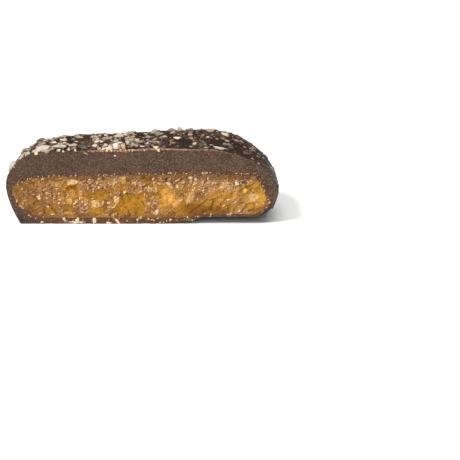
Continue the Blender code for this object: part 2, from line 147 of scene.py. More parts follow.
@dataclass(frozen=True)
class Side:
    """The profile of one side of a slab."""

    foot: float
    widest: float
    reach: float
    power: float

    FOOT_AT = 2 / 15
    WIDEST_AT = 6 / 15
    SHOULDER_AT = 12 / 15
    FLARE = 1.6

    def at(self, bottom: float, top: float, up: float) -> tuple[float, float]:
        """Finds one point of the profile.

        Args:
            bottom: the height of the slab's underside.
            top: the height of its top.
            up: a share between FOOT_AT and SHOULDER_AT.

        Returns:
            How far the point lies inside the widest line, and its height.
        """
        if up <= self.WIDEST_AT:
            rise = max(0.0, (up - self.FOOT_AT) / (self.WIDEST_AT - self.FOOT_AT))
            return self.foot * (1 - rise) ** self.FLARE, bottom + (self.widest - bottom) * rise
        turn = min(1.0, (up - self.WIDEST_AT) / (self.SHOULDER_AT - self.WIDEST_AT)) * math.pi / 2
        inset = self.reach * (1 - math.cos(turn) ** (2 / self.power))
        return inset, self.widest + (top - self.widest) * math.sin(turn) ** (2 / self.power)


@dataclass(frozen=True)
class Slab:
    """A cushion-like slab on a superellipse plan, its sides, shoulders and faces swept from a ball."""

    shift: float
    half_length: float
    half_depth: float
    bottom: float
    bow: float
    top_left: float
    top_right: float
    left: Side
    right: Side
    back: Side
    corner: float

    PLAN_STEPS, RING_STEPS = 2401, 240
    RAGGED, RAGGED_SIZE, RAGGED_FINE = 0.17 * MM, 0.85 * MM, 0.4 * MM
    MIDDLE_HEIGHT = 5.2 * MM
    SKEW = 0.085
    BOW_SOFT_SHARE = 0.35
    BOW_SOFT_FROM, BOW_STEP_FROM, BOW_TO = 3.0 * MM, 8.8 * MM, 11.0 * MM
    BOW_DEPTH_FROM, BOW_DEPTH_TO = 3.0 * MM, 9.0 * MM

    @cached_property
    def outline(self) -> tuple[np.ndarray, np.ndarray, np.ndarray]:
        """The plan outline, with half sides of 1, at even steps along its real length."""
        turn = np.linspace(0, 2 * np.pi, self.PLAN_STEPS)
        x = np.sign(np.cos(turn)) * np.abs(np.cos(turn)) ** (2 / self.corner)
        y = np.sign(np.sin(turn)) * np.abs(np.sin(turn)) ** (2 / self.corner)
        steps = np.hypot(np.diff(x) * self.half_length, np.diff(y) * self.half_depth)
        along = np.concatenate([[0], np.cumsum(steps)])
        return along / along[-1], x, y

    def grown(self, by: float) -> "Slab":
        """Returns the slab with its faces moved out by the same amount."""
        return replace(
            self,
            half_length=self.half_length + by,
            half_depth=self.half_depth + by,
            bottom=self.bottom - by,
            top_left=self.top_left + by,
            top_right=self.top_right + by,
        )

    @cached_property
    def ring(self) -> np.ndarray:
        """The outline of the slab where it is cut, as (along, above)."""
        ups = [i / self.RING_STEPS for i in range(self.RING_STEPS + 1)]
        places = [self.point(around, up) for around in (0.0, 0.5) for up in ups]
        return np.array([(place.x, place.z) for place in places])

    def inward(self, along: float, above: float) -> float:
        """Returns how far a place on the cut lies from the slab's outline."""
        return float(np.hypot(self.ring[:, 0] - along, self.ring[:, 1] - above).min())

    def ragged(self, place: Vector) -> Vector:
        """Makes the slab's surface a little uneven at a point."""
        out = Vector((place.x * 0.3, 0.0, place.z - self.MIDDLE_HEIGHT)).normalized()
        rough = noise.noise(place / self.RAGGED_SIZE) + 0.6 * noise.noise(place / self.RAGGED_FINE)
        return place + out * self.RAGGED * rough

    def bow_share(self, along: float, behind: float) -> float:
        """Returns the share, from 0 to 1, of the underside's rise at that place."""
        gentle = self.BOW_SOFT_SHARE * ramp(along, self.BOW_SOFT_FROM, self.BOW_STEP_FROM)
        step = (1 - self.BOW_SOFT_SHARE) * ramp(along, self.BOW_STEP_FROM, self.BOW_TO)
        return (gentle + step) * (1 - ramp(abs(behind), self.BOW_DEPTH_FROM, self.BOW_DEPTH_TO))

    def point(self, around: float, up: float) -> Vector:
        """Finds a point of the slab's surface.

        Args:
            around: from 0 at the right end, by the back, to 0.5 at the left end.
            up: from 0 at the middle of the underside to 1 at the middle of the top.

        Returns:
            The point, as along, behind and above.
        """
        steps, plan_x, plan_y = self.outline
        px = float(np.interp(around % 1.0, steps, plan_x))
        py = float(np.interp(around % 1.0, steps, plan_y))
        end = self.right if px > 0 else self.left
        end = replace(end, reach=end.reach + (self.back.reach - end.reach) * py * py)
        flat_share = 1.0
        if up < Side.FOOT_AT:
            flat_share = up / Side.FOOT_AT
        elif up > Side.SHOULDER_AT:
            flat_share = (1 - up) / (1 - Side.SHOULDER_AT)
        on_side = min(max(up, Side.FOOT_AT), Side.SHOULDER_AT)
        top = self.top_left + (self.top_right - self.top_left) * ramp(px * flat_share, -0.8, 0.2)
        end_inset, end_height = end.at(self.bottom, top, on_side)
        back_inset, back_height = self.back.at(self.bottom, top, on_side)
        x = self.shift + (self.half_length - end_inset) * px * flat_share
        y = (self.half_depth - back_inset) * py * flat_share
        y *= 1 + self.SKEW * x / self.half_length
        end_weight = abs(px) ** 4
        height = end_height * end_weight + back_height * (1 - end_weight)
        low_share = 1 - min(1.0, (height - self.bottom) / (end.widest - self.bottom))
        return Vector((x, y, height + self.bow * self.bow_share(x, y) * low_share))

    def ball(
        self, name: str, stations: int, rings: int, finish: Callable[[Vector], Vector]
    ) -> bpy.types.Object:
        """Models the whole slab from a ball.

        Args:
            name: the object's name.
            stations: points round the plan.
            rings: rings from the underside to the top.
            finish: a change to make to each point.

        Returns:
            The slab as an object, in along, behind and above.
        """
        bpy.ops.object.select_all(action="DESELECT")
        bpy.ops.mesh.primitive_uv_sphere_add(segments=stations, ring_count=rings, radius=1)
        slab = bpy.context.object
        slab.name = name

        def swept(ball_point: Vector) -> Vector:
            around = math.atan2(ball_point.y, ball_point.x) / (2 * math.pi)
            up = 1 - math.acos(max(-1.0, min(1.0, ball_point.z))) / math.pi
            return finish(self.point(around, up))

        move_points(slab, swept)
        return slab


COAT_FORM = Slab(
    shift=0.0,
    half_length=25.0 * MM,
    half_depth=16.2 * MM,
    bottom=0.0,
    bow=1.4 * MM,
    top_left=14.1 * MM,
    top_right=14.5 * MM,
    left=Side(2.3 * MM, 7.1 * MM, 8.8 * MM, 2.0),
    right=Side(2.0 * MM, 6.4 * MM, 14.0 * MM, 1.8),
    back=Side(2.2 * MM, 6.8 * MM, 6.2 * MM, 2.0),
    corner=4.2,
)
TOFFEE_FORM = Slab(
    shift=-0.25 * MM,
    half_length=23.3 * MM,
    half_depth=14.8 * MM,
    bottom=1.5 * MM,
    bow=0.7 * MM,
    top_left=9.1 * MM,
    top_right=9.4 * MM,
    left=Side(3.3 * MM, 6.6 * MM, 8.5 * MM, 1.8),
    right=Side(2.6 * MM, 4.1 * MM, 2.7 * MM, 1.2),
    back=Side(2.0 * MM, 5.2 * MM, 4.0 * MM, 1.8),
    corner=5.0,
)
TOFFEE_CLEARANCE = 0.3 * MM
TOFFEE_STATIONS, TOFFEE_RINGS = 108, 190


@dataclass(frozen=True)
class CoatSurface:
    """The dipped outside of the chocolate: the slab with a slow ripple and a crown at the back right."""

    form: Slab
    ripple: float = 0.16 * MM
    ripple_size: float = 6.5 * MM
    crown: float = 0.42 * MM

    KNOTS_ROUND, KNOTS_UP = 60, 40
    STEP = 0.002

    def rippled(self, place: Vector) -> Vector:
        """Moves a point up or down as the chocolate is uneven above its widest line."""
        share = ramp(place.z, self.form.back.widest, self.form.back.widest + 4 * MM)
        wave = noise.noise(Vector((place.x, place.y, 0.0)) / self.ripple_size)
        crown = ramp_mm(place.x, 0, 6) * (1 - ramp_mm(place.x, 14, 21))
        crown *= ramp_mm(place.y, 2.5, 9)
        return place + Vector((0, 0, (self.ripple * wave + self.crown * crown) * share))

    def point(self, around: float, up: float) -> Vector:
        """Returns a point of the outside."""
        return self.rippled(self.form.point(around, up))

    def stand(self, around: float, up: float) -> tuple[Vector, Vector, float]:
        """Returns the point, the outward normal and the area for each unit of around and up."""
        across = self.point(around + self.STEP, up) - self.point(around - self.STEP, up)
        rise = self.point(around, up + self.STEP) - self.point(around, up - self.STEP)
        normal = across.cross(rise)
        area = normal.length / (4 * self.STEP * self.STEP)
        return self.point(around, up), normal.normalized(), area

    @cached_property
    def net(self) -> list[tuple[Vector, float, float]]:
        """A net of (place on the plan, around, up) over the upper side."""
        knots = []
        for i in range(self.KNOTS_ROUND + 1):
            around = i / (2 * self.KNOTS_ROUND)
            for j in range(self.KNOTS_UP):
                up = Side.WIDEST_AT + 0.02 + j * (0.97 - Side.WIDEST_AT) / self.KNOTS_UP
                knots.append((self.point(around, up).xy, around, up))
        return knots

    def above_plan(self, along: float, behind: float) -> tuple[Vector, Vector]:
        """Returns the point and normal of the upper side over a place on the plan."""
        place = Vector((along, behind))
        _, around, up = min(self.net, key=lambda knot: (knot[0] - place).length)
        step = 0.01
        for _ in range(12):
            tries = [(around + a * step, up + b * step) for a in (-1, 0, 1) for b in (-1, 0, 1)]
            around, up = min(tries, key=lambda t: (self.point(*t).xy - place).length)
            step *= 0.6
        point, normal, _ = self.stand(around, up)
        return point, normal


# ---- finishes


class Board:
    """A material's node tree, with short ways to add what the finishes share."""

    def __init__(self, name: str) -> None:
        """Makes a material with one Principled shader."""
        self.material = bpy.data.materials.new(name)
        self.material.use_nodes = True
        self.tree = self.material.node_tree
        self.shader = self.tree.nodes["Principled BSDF"]
        self.place = self.tree.nodes.new("ShaderNodeTexCoord").outputs["Object"]

    def put(self, value: object, socket: Socket) -> None:
        """Links an output to a socket, or sets the socket to a value."""
        if isinstance(value, Socket):
            self.tree.links.new(value, socket)
        else:
            socket.default_value = value

    def fill(self, node: bpy.types.Node, **inputs: object) -> bpy.types.Node:
        """Puts a value in each socket named, with underscores for spaces, and returns the node."""
        for name, value in inputs.items():
            self.put(value, node.inputs[name.replace("_", " ")])
        return node

    def node(self, kind: str, **inputs: object) -> bpy.types.Node:
        """Adds a node of a type, named without its ShaderNode prefix, and fills it."""
        return self.fill(self.tree.nodes.new("ShaderNode" + kind), **inputs)

    def dressed(self, **inputs: object) -> bpy.types.Material:
        """Fills the shader, and returns the material."""
        self.fill(self.shader, **inputs)
        return self.material

    def noise(
        self, size: float, detail: float = 3.0, roughness: float = 0.5, place: Socket | None = None
    ) -> Socket:
        """Returns noise from 0 to 1 with features of this size in metres."""
        made = self.node("TexNoise", Vector=place or self.place, Scale=1 / size)
        return self.fill(made, Detail=detail, Roughness=roughness).outputs["Fac"]

    def grained(self, sizes: tuple[float, float, float], lean: float = 0.0) -> Socket:
        """Returns noise whose features have these sizes, leaning up to the right by an angle in degrees."""
        mapped = self.node("Mapping", Vector=self.place)
        mapped.vector_type = "TEXTURE"
        self.fill(mapped, Scale=sizes, Rotation=(0, -math.radians(lean), 0))
        return self.noise(1.0, 4, 0.6, mapped.outputs["Vector"])

    def cells(self, size: float, output: str = "Distance") -> Socket:
        """Returns one output of a Voronoi texture with cells of this size in metres."""
        return self.node("TexVoronoi", Vector=self.place, Scale=1 / size).outputs[output]

    def attribute(self, name: str) -> Socket:
        """Returns a number that is stored on the mesh."""
        made = self.tree.nodes.new("ShaderNodeAttribute")
        made.attribute_name = name
        return made.outputs["Fac"]

    def ranged(self, value: Socket, low: float, high: float) -> Socket:
        """Returns a value on a scale from 0 at low to 1 at high."""
        return self.node("MapRange", Value=value, From_Min=low, From_Max=high).outputs["Result"]

    def along(self, low: float, high: float) -> Socket:
        """Returns the place along the bar, from 0 at low to 1 at high."""
        return self.ranged(self.node("SeparateXYZ", Vector=self.place).outputs["X"], low, high)

    def stops(self, value: Socket, *stops: tuple[float, float | tuple]) -> Socket:
        """Maps a value through a colour ramp from its first stop to its last. A plain number is a grey."""
        low, high = stops[0][0], stops[-1][0]
        made = self.node("ValToRGB", Fac=self.ranged(value, low, high))
        bar = made.color_ramp.elements
        while len(bar) < len(stops):
            bar.new(0.5)
        for element, (at, colour) in zip(bar, stops):
            element.position = (at - low) / (high - low)
            element.color = colour if isinstance(colour, tuple) else (colour, colour, colour, 1)
        return made.outputs["Color"]

    def blend(self, share: object, first: object, second: object, kind: str = "MIX") -> Socket:
        """Blends two colours by a share, each of them an output or a value."""
        made = self.tree.nodes.new("ShaderNodeMix")
        made.data_type, made.blend_type = "RGBA", kind
        sockets = {socket.identifier: socket for socket in made.inputs}
        for name, value in (("Factor_Float", share), ("A_Color", first), ("B_Color", second)):
            self.put(value, sockets[name])
        return next(socket for socket in made.outputs if socket.identifier == "Result_Color")

    def tint(
        self, under: object, over: object, value: Socket, low: float, high: float, most: float = 1.0
    ) -> Socket:
        """Lays a colour over another: none of it where the value is low, the most where it is high."""
        return self.blend(self.stops(value, (low, 0.0), (high, most)), under, over)

    def sum(self, *parts: tuple[Socket, float]) -> Socket:
        """Adds up outputs, each with its own weight."""
        total = 0.0
        for output, weight in parts:
            made = self.tree.nodes.new("ShaderNodeMath")
            made.operation = "MULTIPLY_ADD"
            for value, socket in zip((output, weight, total), made.inputs):
                self.put(value, socket)
            total = made.outputs[0]
        return total

    def bump(self, height: Socket, distance: float, strength: float = 1.0) -> Socket:
        """Returns a normal bumped by a height of 0 to 1 that stands for this distance."""
        return self.node("Bump", Height=height, Distance=distance, Strength=strength).outputs["Normal"]


@dataclass(frozen=True)
class DippedChocolate:
    """The outside of the coat: dark, softly shining, with a little bloom."""

    dark: tuple = linear(28, 15, 7)
    mid: tuple = linear(44, 27, 15)
    bloom: tuple = linear(86, 64, 48)
    shine: tuple = linear(255, 214, 184)

    def material(self) -> bpy.types.Material:
        """Builds the material."""
        board = Board("dipped_chocolate")
        slow = board.noise(5.2 * MM)
        fine = board.noise(0.45 * MM, 4, 0.6)
        colour = board.tint(self.dark, self.mid, slow, 0.35, 0.7)
        dusty = board.sum((slow, 0.5), (fine, 0.7))
        relief = board.sum((board.noise(1.6 * MM), 1.0), (fine, 0.12))
        return board.dressed(
            Base_Color=board.tint(colour, self.bloom, dusty, 0.62, 0.78, 0.6),
            Roughness=board.stops(fine, (0.3, 0.42), (0.75, 0.58)),
            Normal=board.bump(relief, 0.16 * MM, 0.7),
            Specular_IOR_Level=0.2,
            Specular_Tint=self.shine,
        )


@dataclass(frozen=True)
class CutChocolate:
    """Chocolate that a knife has gone through: dull, paler, with fine specks and drag marks."""

    face: tuple = linear(90, 67, 52)
    shade: tuple = linear(60, 42, 31)
    speck: tuple = linear(140, 119, 100)
    # Pale smear colour, also laid along the top edge of the cut as a painted highlight.
    smear: tuple = linear(176, 134, 108)
    toffee: tuple = linear(150, 106, 62)
    film: tuple = linear(84, 56, 37)
    film_light: tuple = linear(118, 82, 54)
    speck_size: float = 0.3 * MM

    def material(self) -> bpy.types.Material:
        """Builds the material."""
        board = Board("cut_chocolate")
        grain = board.noise(0.36 * MM, 4, 0.75)
        drag = board.grained((0.26 * MM, 16 * MM, 2.2 * MM), 8)
        ragged = board.noise(0.42 * MM, 4, 0.65)
        left = board.along(-25 * MM, -8 * MM)
        tone = board.sum((board.noise(2.6 * MM, 5, 0.65), 0.45), (grain, 0.75), (left, 0.05))
        colour = board.tint(self.shade, self.face, tone, 0.53, 0.77)
        colour = board.tint(colour, self.speck, drag, 0.64, 0.84, 0.3)
        near = board.stops(board.cells(self.speck_size), (0.08, 1.0), (0.42, 0.0))
        colours = board.cells(self.speck_size, "Color")
        chance = board.sum((colours, 1.0), (board.along(-18 * MM, 2 * MM), 0.1))
        some = board.stops(chance, (0.46, 0.0), (0.92, 1.0))
        colour = board.blend(board.blend(1.0, near, some, "MULTIPLY"), colour, self.speck)
        # Pale smear and painted highlight along the top edge of the cut.
        rim_smear_and_highlight = board.sum((board.attribute("rim_smear_and_highlight"), 1.0), (board.noise(0.3 * MM, 3, 0.6), 1.1), (drag, 0.5))
        colour = board.tint(colour, self.smear, rim_smear_and_highlight, 1.44, 1.66, 0.9)
        crumbed = board.sum((board.attribute("smear"), 0.5), (ragged, 0.9))
        colour = board.tint(colour, self.toffee, crumbed, 0.98, 1.16, 0.85)
        film = board.tint(self.film, self.film_light, board.noise(0.5 * MM, 4, 0.7), 0.46, 0.66, 0.95)
        low = board.sum((board.attribute("film"), 0.9), (ragged, 0.9))
        relief = board.sum((drag, 0.4), (grain, 0.6), (board.noise(1.2 * MM, 2), 0.6))
        return board.dressed(
            Base_Color=board.tint(colour, film, low, 0.8, 1.3),
            Roughness=0.62,
            Specular_IOR_Level=0.2,
            Normal=board.bump(relief, 0.08 * MM, 0.9),
        )


@dataclass(frozen=True)
class AmberToffee:
    """Buttery toffee, cloudy where it is crushed and clear amber where it broke clean."""

    deep: tuple = linear(126, 76, 4)
    amber: tuple = linear(184, 129, 30)
    ochre: tuple = linear(158, 109, 30)
    shadow: tuple = linear(122, 75, 22)
    cloud: tuple = linear(164, 112, 42)
    glint: tuple = linear(202, 148, 66)
    crushed: tuple = linear(154, 105, 50)
    pale: tuple = linear(196, 150, 92)
    # Lighter amber of the painted glow.
    light: tuple = linear(232, 172, 84)
    # Pale crumb dust that also serves as painted glints.
    dust_and_glints: tuple = linear(240, 206, 164)
    # Painted shade for the low spots of the grain.
    pit_shade: tuple = linear(88, 46, 14)
    # Brown of the painted shade along the chocolate, also darkening the left end.
    shade_brown: tuple = linear(84, 48, 22)

    def material(self) -> bpy.types.Material:
        """Builds the material."""
        board = Board("amber_toffee")
        marks = ("clear", "shard", "crust", "edge", "depth")
        clear, shard, crust, edge, depth = (board.attribute(name) for name in marks)
        streaks = board.grained((1.5 * MM, 0.6 * MM, 0.42 * MM), GRAIN_LEAN)
        right = board.stops(board.along(GRAIN_FROM, GRAIN_TO), (0.0, 0.0), (1.0, 1.0))
        medium = board.blend(right, board.noise(0.9 * MM, 4, 0.62), streaks)
        grains = board.noise(0.38 * MM, 4, 0.66)
        clean = board.tint(self.ochre, self.amber, board.sum((shard, 0.5), (medium, 0.35)), 0.2, 0.7)
        clean = board.tint(clean, self.deep, board.sum((depth, 0.8), (medium, 0.9)), 0.6, 1.35)
        tone = board.sum((shard, 0.55), (medium, 0.7))
        murky = board.stops(tone, (0.36, self.shadow), (0.62, self.cloud), (0.92, self.glint))
        milky = board.stops(tone, (0.36, self.shadow), (0.60, self.crushed), (0.92, self.pale))
        murky = board.blend(board.stops(clear, (-0.9, 0.8), (0.0, 0.0)), murky, milky)
        colour = board.tint(murky, clean, clear, 0.1, 0.7)
        # Painted glow where the toffee looks shallow.
        colour = board.tint(colour, self.light, board.sum((depth, -0.9), (medium, 1.3)), 0.85, 1.55)
        # Painted shade: darker where the crust sits low.
        pit_shade_share = board.sum((crust, -0.8), (grains, 0.5), (medium, 0.4))
        colour = board.tint(colour, self.pit_shade, pit_shade_share, 0.19, 0.42, 0.6)
        # Pale crumb dust and painted glints, mostly on the proud crust.
        dusty = board.sum((crust, 0.75), (grains, 0.85), (clear, -0.12), (medium, 0.3))
        colour = board.tint(colour, self.dust_and_glints, dusty, 1.25, 1.43)
        # Painted shade near the chocolate and under the top edge, and darker towards the left end.
        shade_share = board.sum((edge, 0.8), (medium, 0.4))
        relief = board.sum((medium, 0.8), (grains, 1.0))
        return board.dressed(
            Base_Color=board.tint(colour, self.shade_brown, shade_share, 0.5, 0.9, 0.9),
            Roughness=board.stops(grains, (0.35, 0.14), (0.7, 0.5)),
            Specular_IOR_Level=board.stops(clear, (-0.6, 0.5), (0.6, 0.18)),
            Normal=board.bump(relief, 0.2 * MM),
            Subsurface_Weight=0.12,
            Subsurface_Radius=(1.0, 0.5, 0.12),
            Subsurface_Scale=0.5 * MM,
        )


@dataclass(frozen=True)
class ChipFlesh:
    """The inside of a piece that sits in the break: a little clear, a little grained."""

    name: str
    pale: tuple
    warm: tuple
    fade_from: float
    fade_to: float
    round_it: tuple = linear(166, 116, 48)

    def material(self) -> bpy.types.Material:
        """Builds the material."""
        board = Board(self.name)
        grain = board.noise(0.4 * MM, 4, 0.66)
        flakes = board.cells(0.75 * MM, "Color")
        mix = board.sum((board.attribute("tone"), 0.7), (grain, 0.6), (flakes, 0.35))
        colour = board.tint(self.pale, self.warm, mix, 0.3, 1.2)
        fading = board.sum((board.attribute("fade"), 1.0), (grain, 1.1), (flakes, 0.2))
        return board.dressed(
            Base_Color=board.tint(colour, self.round_it, fading, self.fade_from, self.fade_to, 0.95),
            Normal=board.bump(grain, 0.1 * MM, 0.8),
            Roughness=0.45,
            Specular_IOR_Level=0.3,
            Subsurface_Weight=0.25,
            Subsurface_Radius=(1.0, 0.7, 0.35),
            Subsurface_Scale=0.4 * MM,
        )


@dataclass(frozen=True)
class PecanMeat:
    """The crisp inside of a pecan, from cream to a dusty grey white or a toasted tan."""

    name: str
    pale: tuple
    warm: tuple
    toasted: tuple

    def material(self) -> bpy.types.Material:
        """Builds the material."""
        board = Board("pecan_" + self.name)
        mix = board.sum((board.attribute("tone"), 0.75), (board.noise(0.5 * MM, 4, 0.6), 0.5))
        return board.dressed(
            Base_Color=board.stops(mix, (0.2, self.pale), (0.62, self.warm), (1.05, self.toasted)),
            Normal=board.bump(board.noise(0.28 * MM, 4, 0.65), 0.09 * MM, 0.9),
            Roughness=0.48,
            Specular_IOR_Level=0.5,
            Subsurface_Weight=0.15,
            Subsurface_Radius=(1.0, 0.7, 0.4),
            Subsurface_Scale=0.4 * MM,
        )


@dataclass(frozen=True)
class PecanSkin:
    """The thin brown skin that stays on the outer side of a piece of pecan."""

    dark: tuple = linear(84, 56, 38)
    light: tuple = linear(142, 102, 70)

    def material(self) -> bpy.types.Material:
        """Builds the material."""
        board = Board("pecan_skin")
        ribs = board.grained((0.3 * MM, 0.9 * MM, 0.3 * MM))
        return board.dressed(
            Base_Color=board.tint(self.dark, self.light, ribs, 0.35, 0.7),
            Normal=board.bump(ribs, 0.08 * MM, 0.8),
            Roughness=0.5,
            Specular_IOR_Level=0.4,
        )


# ---- broken faces


@dataclass(frozen=True)
class KnifeFace:
    """The knife's way through the chocolate: nearly flat, with a faint wander."""

    cell: float = 0.3 * MM
    wander: float = 0.05 * MM

    def behind(self, along: float, above: float) -> float:
        """Returns how far the face lies behind the plane of the cut."""
        return self.wander * (1 + noise.noise(Vector((along, 0.0, above * 0.5)) / (4.5 * MM))) / 2


@dataclass(frozen=True)
class Patch:
    """A place where the toffee broke clean or is crushed, in millimetres along and above."""

    along: float
    above: float
    long: float
    high: float
    strength: float = 1.0

    def share(self, along: float, above: float, core: float = 0.55, edge: float = 1.25) -> float:
        """Returns how much of a place the patch has: 1 in its core, and 0 beyond its edge."""
        away = math.hypot((along / MM - self.along) / self.long, (above / MM - self.above) / self.high)
        return self.strength * (1 - ramp(away, core, edge))


def facets(place: Vector, size: float, tilt: float, step: float) -> tuple[float, float]:
    """Finds the form of a face that broke into shards.

    Args:
        place: the place on the face.
        size: how large the shards are.
        tilt: how steeply they lean.
        step: how far one stands before the next.

    Returns:
        The height at the place, and the shard's own number, from about -0.5 to 0.5.
    """
    warped = place / size + 0.4 * noise.noise_vector(place / (0.72 * size))
    centre = noise.voronoi(warped)[1][0]
    lean = noise.noise_vector(centre * 7.3 + Vector((3.1, 0.7, 1.9)))
    away = (warped - centre) * size
    return tilt * (lean.x * away.x + lean.z * away.z) + step * lean.y, lean.y


@dataclass(frozen=True)
class SnappedFace:
    """The broken face of the toffee: tilted shards with crumbly steps between them."""

    form: Slab
    cell: float = 0.11 * MM
    mean: float = 0.20 * MM
    swell: float = 0.22 * MM
    shard: float = 1.25 * MM
    tilt: float = 0.55
    step: float = 0.27 * MM
    grit: float = 0.13 * MM
    grit_size: float = 0.55 * MM
    grit_mean: float = 0.38
    grit_spread: float = 2.4
    drawn_out: float = 1.3
    flattened: float = 0.6
    flush_from: float = 0.15 * MM
    flush_to: float = 0.8 * MM
    crushed: tuple = (
        Patch(-8.3, 7.6, 3.6, 1.4), Patch(2.1, 3.6, 1.6, 2.2, 0.55), Patch(10.6, 7.8, 3.4, 1.5),
        Patch(15.2, 7.6, 2.2, 1.1), Patch(19.2, 8.2, 1.8, 1.0), Patch(-17.5, 6.6, 2.2, 1.2),
        Patch(-1.2, 7.4, 1.5, 1.3), Patch(15.9, 4.3, 2.6, 0.9), Patch(-10.8, 3.2, 1.4, 1.1),
        Patch(-5.4, 8.6, 1.6, 0.8), Patch(5.6, 8.4, 2.0, 0.7), Patch(18.9, 2.3, 1.3, 0.7),
    )
    patches: tuple = (
        Patch(-2.2, 3.8, 3.2, 2.3), Patch(3.8, 4.8, 1.3, 1.9), Patch(9.0, 3.0, 3.0, 1.6),
        Patch(-8.0, 5.6, 2.2, 1.1), Patch(-8.6, 2.8, 1.6, 1.0), Patch(-12.9, 6.9, 1.6, 0.8),
        Patch(14.6, 4.4, 3.4, 1.8), Patch(12.4, 2.6, 2.4, 0.9), Patch(0.6, 8.6, 1.0, 0.9),
        Patch(-17.4, 2.6, 1.2, 0.6, 0.6), Patch(20.4, 7.4, 1.6, 1.0), Patch(20.8, 2.8, 2.2, 0.8),
        Patch(20.6, 5.0, 2.4, 1.5, 0.8),
    )
    deep: tuple = (
        Patch(9.6, 2.8, 2.8, 1.3), Patch(-12.9, 6.9, 1.5, 0.5), Patch(13.2, 2.9, 1.6, 0.8),
        Patch(4.2, 2.6, 1.2, 0.8), Patch(-17.0, 8.0, 1.2, 0.8),
    )
    # Patches where a glow is painted.
    glowing: tuple = (
        Patch(4.5, 5.7, 1.6, 1.7, 0.85), Patch(5.5, 4.4, 2.1, 1.5, 0.85), Patch(20.6, 5.0, 3.0, 1.8, 0.55),
        Patch(-12.7, 5.8, 1.4, 1.3, 0.5), Patch(5.0, 7.2, 1.2, 0.9, 0.4), Patch(-19.6, 7.6, 1.4, 1.0, 0.3),
        Patch(12.4, 6.0, 1.4, 1.0, 0.3),
    )

    def depth(self, along: float, above: float) -> float:
        """Returns how deep one looks into the toffee there, from -1, where a glow is painted, to 1."""
        deep = max(patch.share(along, above) for patch in self.deep)
        return deep - max(patch.share(along, above, 0.2, 1.3) for patch in self.glowing)

    def laid(self, along: float, above: float) -> Vector:
        """Returns the place as the break's grain sees it, drawn out up to the right near the right end."""
        drawn = 1 + self.drawn_out * ramp(along, GRAIN_FROM, GRAIN_TO)
        lean = math.radians(GRAIN_LEAN)
        u = along * math.cos(lean) + above * math.sin(lean)
        v = above * math.cos(lean) - along * math.sin(lean)
        return Vector((u / drawn, 0.0, v))

    def clear(self, along: float, above: float) -> float:
        """Returns how clear the toffee is there, from -1, crushed, to 1."""
        ragged = noise.noise(Vector((along, 3.0, above)) / (1.3 * MM))
        clean = max(patch.share(along, above, 0.3, 1.4) for patch in self.patches)
        crushed = max(patch.share(along, above, 0.2, 1.5) for patch in self.crushed)
        return min(1.0, max(-1.0, clean - crushed + 0.6 * ragged))

    def relief(self, along: float, above: float) -> tuple[float, float, float]:
        """Finds the form of the break at a place.

        Args:
            along: the place along the bar.
            above: its height above the table.

        Returns:
            How far the face lies behind the plane of the cut, the shard's own tone, and how proud the crust
            stands there, the last two from 0 to 1.
        """
        place = self.laid(along, above)
        swell = self.swell * noise.noise(Vector((along, 0.0, above)) / (2.3 * MM))
        facet, tone = facets(place, self.shard, self.tilt, self.step)
        facet *= 1 - self.flattened * self.deep[0].share(along, above)
        rough = 0.85 - 0.5 * self.clear(along, above)
        crumbs = noise.turbulence(place / self.grit_size, 3, True)
        gritty = self.grit * rough * (crumbs - self.grit_mean) * self.grit_spread
        inward = ramp(self.form.inward(along, above), self.flush_from, self.flush_to)
        inward = max(inward, 0.75 * ramp_mm(above, 6.2, 7.8))
        behind = (self.mean + swell + facet) * inward + gritty * (0.35 + 0.65 * inward)
        return behind, 0.5 + tone * 0.9, min(1.0, max(0.0, 1 - crumbs))

    def behind(self, along: float, above: float) -> float:
        """Returns how far the face lies behind the plane of the cut."""
        return self.relief(along, above)[0]


def face_block(name: str, face: KnifeFace | SnappedFace, length: float, height: float) -> bpy.types.Object:
    """Models the block that leaves a face when it is taken out of a slab.

    Args:
        name: the block's name.
        face: the face that it leaves.
        length: the block's reach along the bar.
        height: its reach above the table.

    Returns:
        The block as an object.
    """
    low, thickness = -1.2 * MM, 6 * MM
    bpy.ops.object.select_all(action="DESELECT")
    bpy.ops.mesh.primitive_grid_add(
        x_subdivisions=round(length / face.cell), y_subdivisions=round((height - low) / face.cell), size=1
    )
    block = bpy.context.object
    block.name = name

    def placed(flat: Vector) -> Vector:
        along, above = flat.x * length, low + (flat.y + 0.5) * (height - low)
        return Vector((along, face.behind(along, above), above))

    move_points(block, placed)
    with editing(block):
        bpy.ops.mesh.extrude_region_move(TRANSFORM_OT_translate={"value": (0, -thickness, 0)})
    return block


# ---- chocolate coat


